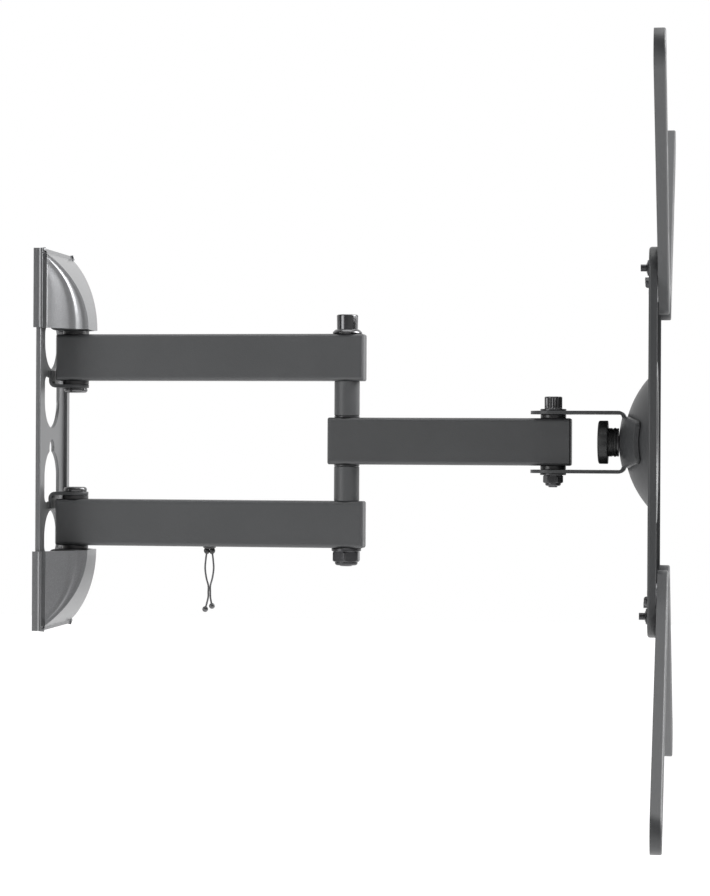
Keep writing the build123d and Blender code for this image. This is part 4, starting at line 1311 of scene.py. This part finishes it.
@dataclass
class Head:
    """Yoke, its pivot screw and nut, and the clamp with its hand knob."""

    shop: Workshop

    def build(self) -> None:
        """Dress the yoke and clamp, and make the screw, nut and knob."""
        self.shop.dress("head_yoke", Finishes.PLATE_COAT, soften=0.25 * MM)
        self.shop.dress_all(Finishes.BLACK_ZINC, "head_pivot_washers", "clamp_bolt")
        self.shop.dress("friction_liner", Finishes.LINER_SHEET)
        self.shop.dress("pressure_plate", Finishes.BRIGHT_ZINC)
        self.shop.dress("knob_washer", Finishes.BUSH_NYLON)
        self.shop.dress("knob_insert", Finishes.BRASS)
        self.make_pivot()
        self.make_knob()

    def make_pivot(self) -> None:
        """Knurled socket screw and lock nut of the head pivot."""
        low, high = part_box("head_pivot_bolt")
        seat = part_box("head_pivot_washers")[1][2]
        nut_low, nut_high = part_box("head_pivot_nut")
        centre = middle_of("head_pivot_bolt")
        screw = SocketScrew(
            head=high[0] - low[0], height=high[2] - seat, shank=5.9 * MM, length=seat - nut_low[2] - 2 * MM,
            socket=5.0 * MM, knurls=18, knurl_depth=0.5 * MM,
        )
        places = [axis_place((centre.x, 0.0, seat), UP)]
        self.shop.make_piece(
            "head_knurled_bolt", screw, places, Finishes.BLACK_NICKEL, "head", "black_steel",
            "head_pivot_bolt",
        )

        nut = LockNut(
            across_flats=nut_high[0] - nut_low[0], height=nut_high[2] - nut_low[2], screw=6.0 * MM,
            pitch=1.0 * MM, tip=0.8 * MM,
        )
        places = [axis_place((centre.x, 0.0, nut_high[2]), DOWN) @ Matrix.Rotation(math.radians(30), 4, "Z")]
        self.shop.make_piece(
            "head_hex_nut", nut, places, Finishes.BLACK_ZINC, "head", "black_steel", "head_pivot_nut"
        )

    def make_knob(self) -> None:
        """Hand knob with a fluted rim, a slightly domed face and a ribbed neck."""
        low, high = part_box("clamp_knob")
        length = high[0] - low[0]
        rim = (high[1] - low[1]) / 2
        neck = 8.65 * MM
        grip = 6.4 * MM
        stack = RingStack(steps=240)
        for back, share in ((length, 0.93), (length - 0.5 * MM, 1.0), (length - 1.6 * MM, 1.0),
                            (length - 1.9 * MM, 0.95), (length - 2.5 * MM, 0.95), (length - 2.8 * MM, 0.985),
                            (grip, 0.985)):
            stack.ring(-back, neck * share)
        stack.ring(-grip, self.fluted(rim * 0.96, 0.3 * MM))
        for step in range(1, 5):
            t = math.pi / 2 * step / 4
            reach = rim * 0.96 + rim * 0.04 * math.sin(t)
            stack.ring(-grip + 0.6 * MM * (1 - math.cos(t)), self.fluted(reach, 0.35 * MM))
        for step in range(1, 6):
            t = math.pi / 2 * step / 5
            reach = rim * (0.93 + 0.07 * math.cos(t))
            stack.ring(-1.9 * MM + 1.1 * MM * math.sin(t), self.fluted(reach, 0.35 * MM))
        for step in range(1, 10):
            t = math.pi / 2 * step / 10
            stack.ring(-0.8 * MM + 0.8 * MM * math.sin(t), rim * 0.93 * math.cos(t))
        places = [axis_place((low[0], 0.0, 0.0), TO_WALL)]
        self.shop.make_piece(
            "fluted_hand_knob", stack, places, Finishes.KNOB_PLASTIC, "knob", "black_plastic", "clamp_knob"
        )

    @staticmethod
    def fluted(radius: float, depth: float) -> RadiusAt:
        """Give the radius of the knob's fluted rim.

        Args:
            radius: outer radius.
            depth: depth of the flutes.

        Returns:
            A function from angle to radius.
        """
        return ridged_radius(radius, depth, 12, 1.6)


@dataclass
class TvPlate:
    """Dome, TV plate and the four arms with their fasteners."""

    shop: Workshop
    corners: tuple[str, ...] = ("upper_left", "upper_right", "lower_left", "lower_right")

    def build(self) -> None:
        """Dress the plate, dome and arms, and make the lock nuts."""
        self.shop.dress("tilt_dome", Finishes.PLATE_COAT)
        self.shop.dress("vesa_plate", Finishes.PLATE_COAT, soften=0.25 * MM)
        self.shop.dress("arm_pivot_rivets", Finishes.BLACK_ZINC)
        self.shop.dress("arm_pivot_spacers", Finishes.BRIGHT_ZINC)
        for corner in self.corners:
            self.build_arm(corner)

    def build_arm(self, corner: str) -> None:
        """Dress one arm and make its lock nut.

        Args:
            corner: which arm, such as upper_left.
        """
        self.shop.dress(f"{corner}_vesa_arm", Finishes.PLATE_COAT, soften=0.2 * MM)
        self.shop.dress(f"{corner}_lock_bolt", Finishes.BLACK_ZINC)
        self.shop.dress(f"{corner}_lock_spacer", Finishes.BRIGHT_ZINC)
        low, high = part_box(f"{corner}_lock_nut")
        centre = middle_of(f"{corner}_lock_nut")
        nut = SpeedNut(
            outside=high[1] - low[1], height=high[0] - low[0], screw=4.0 * MM, pitch=0.7 * MM, tip=3.4 * MM,
        )
        places = [axis_place((high[0], centre.y, centre.z), TO_WALL)]
        self.shop.make_piece(
            f"{corner}_speed_nut", nut, places, Finishes.BLACK_ZINC, f"{corner}_arm", "black_steel",
            f"{corner}_lock_nut",
        )


# ---------------------------------------------------------------- studio


@dataclass
class Softbox:
    """One soft light: where it stands, how large it is and how strong."""

    name: str
    place: Point
    width: float
    height: float
    power: float

    def build(self, target: Vector) -> None:
        """Add the light, aimed at a point.

        Args:
            target: the point.
        """
        data = bpy.data.lights.new(self.name, "AREA")
        data.shape = "RECTANGLE"
        data.size = self.width
        data.size_y = self.height
        data.energy = self.power
        lamp = bpy.data.objects.new(self.name, data)
        bpy.context.scene.collection.objects.link(lamp)
        lamp.location = self.place
        lamp.rotation_euler = (target - Vector(self.place)).to_track_quat("-Z", "Y").to_euler()


@dataclass
class Studio:
    """Pale floor, soft lights and the camera."""

    target: Point = (0.1911, 0.0, -0.0042)
    distance: float = 1.455
    azimuth: float = 8.3
    roll: float = 0.0052
    lens: float = 96.43
    floor_drop: float = 0.55
    near_light: float = 0.27
    backdrop_light: float = 1.0
    softboxes: tuple[Softbox, ...] = (
        Softbox("key_softbox", (1.7, 0.25, 0.95), 1.3, 1.5, 62.0),
        Softbox("left_softbox", (-1.2, -1.3, 0.35), 0.9, 1.3, 12.0),
        Softbox("top_softbox", (0.2, -0.2, 1.7), 1.4, 1.2, 12.0),
    )

    def build(self) -> None:
        """Build the camera, the floor, the world and the lights."""
        self.make_camera()
        self.make_floor()
        self.make_world()
        for softbox in self.softboxes:
            softbox.build(Vector(self.target))
        bpy.context.scene.view_settings.view_transform = "Standard"

    def make_camera(self) -> None:
        """Long lens level with the arms, a little towards the TV side."""
        data = bpy.data.cameras.new("side_camera")
        data.lens = self.lens
        data.sensor_width = 36.0
        camera = bpy.data.objects.new("side_camera", data)
        bpy.context.scene.collection.objects.link(camera)
        turn = math.radians(self.azimuth)
        back = Vector((math.sin(turn), -math.cos(turn), 0.0))
        camera.location = Vector(self.target) + back * self.distance
        aim = (-back).to_track_quat("-Z", "Y").to_matrix() @ Matrix.Rotation(self.roll, 3, "Z")
        camera.rotation_euler = aim.to_euler()
        bpy.context.scene.camera = camera

    def make_floor(self) -> None:
        """Plain pale floor well below the mount."""
        mesh = bmesh.new()
        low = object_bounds()[0]
        reach = 9.0
        corners = [(-reach, -reach), (reach, -reach), (reach, reach), (-reach, reach)]
        mesh.faces.new([mesh.verts.new((x, y, low[2] - self.floor_drop)) for x, y in corners])
        floor = new_object("pale_floor", mesh)
        material = bpy.data.materials.new("pale_floor")
        material.use_nodes = True
        tree = Tree(material.node_tree)
        shader = material.node_tree.nodes["Principled BSDF"]
        speckle = tree.add("ShaderNodeTexNoise", Scale=3.0, Detail=2.0)
        mix = tree.add("ShaderNodeMix", data_type="RGBA")
        mix.inputs["A"].default_value = (0.90, 0.90, 0.90, 1.0)
        mix.inputs["B"].default_value = (0.93, 0.93, 0.93, 1.0)
        tree.link(speckle.outputs["Fac"], mix.inputs["Factor"])
        tree.link(mix.outputs["Result"], shader.inputs["Base Color"])
        shader.inputs["Roughness"].default_value = 0.9
        shader.inputs["Emission Color"].default_value = (1.0, 1.0, 1.0, 1.0)
        path = tree.add("ShaderNodeLightPath")
        glow = tree.math("MULTIPLY", path.outputs["Is Camera Ray"], 0.5)
        tree.link(tree.math("ADD", glow, 0.1), shader.inputs["Emission Strength"])
        floor.data.materials.append(material)
        floor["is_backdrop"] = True

    def make_world(self) -> None:
        """White surroundings to the eye; as light, bright behind the mount and grey in front of it."""
        world = bpy.data.worlds.new("studio")
        world.use_nodes = True
        world.node_tree.nodes.clear()
        tree = Tree(world.node_tree)
        path = tree.add("ShaderNodeLightPath")
        seen = tree.add("ShaderNodeBackground", Strength=1.0)
        seen.inputs["Color"].default_value = (1.0, 1.0, 1.0, 1.0)
        light = tree.add("ShaderNodeBackground")
        light.inputs["Color"].default_value = (1.0, 1.0, 1.0, 1.0)
        parts = tree.add("ShaderNodeSeparateXYZ")
        tree.link(tree.add("ShaderNodeTexCoord").outputs["Generated"], parts.inputs[0])
        depth = tree.add("ShaderNodeMapRange", interpolation_type="SMOOTHSTEP")
        for socket, value in (("From Min", -0.2), ("From Max", 0.5), ("To Min", self.near_light),
                              ("To Max", self.backdrop_light)):
            depth.inputs[socket].default_value = value
        tree.link(parts.outputs["Y"], depth.inputs["Value"])
        across = tree.math("MULTIPLY", parts.outputs["X"], 0.16)
        total = tree.math("ADD", depth.outputs["Result"], across)
        total = tree.math("MAXIMUM", total, 0.1)
        tree.link(total, light.inputs["Strength"])
        mix = tree.add("ShaderNodeMixShader")
        output = tree.add("ShaderNodeOutputWorld")
        tree.link(path.outputs["Is Camera Ray"], mix.inputs[0])
        tree.link(light.outputs[0], mix.inputs[1])
        tree.link(seen.outputs[0], mix.inputs[2])
        tree.link(mix.outputs[0], output.inputs["Surface"])
        bpy.context.scene.world = world


def main() -> None:
    """Build the studio and then each sub-assembly."""
    logging.basicConfig(level=logging.INFO, format="%(name)s: %(message)s")
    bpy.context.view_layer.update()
    Studio().build()
    shop = Workshop()
    WallEnd(shop).build()
    Cover(shop, "upper_cover", 1, "upper_cover").build()
    Cover(shop, "lower_cover", -1, "lower_cover").build()
    FirstArm(shop).build()
    Elbow(shop).build()
    CableClip(shop).build()
    SecondArm(shop).build()
    Head(shop).build()
    TvPlate(shop).build()


if __name__ == "__main__":
    main()
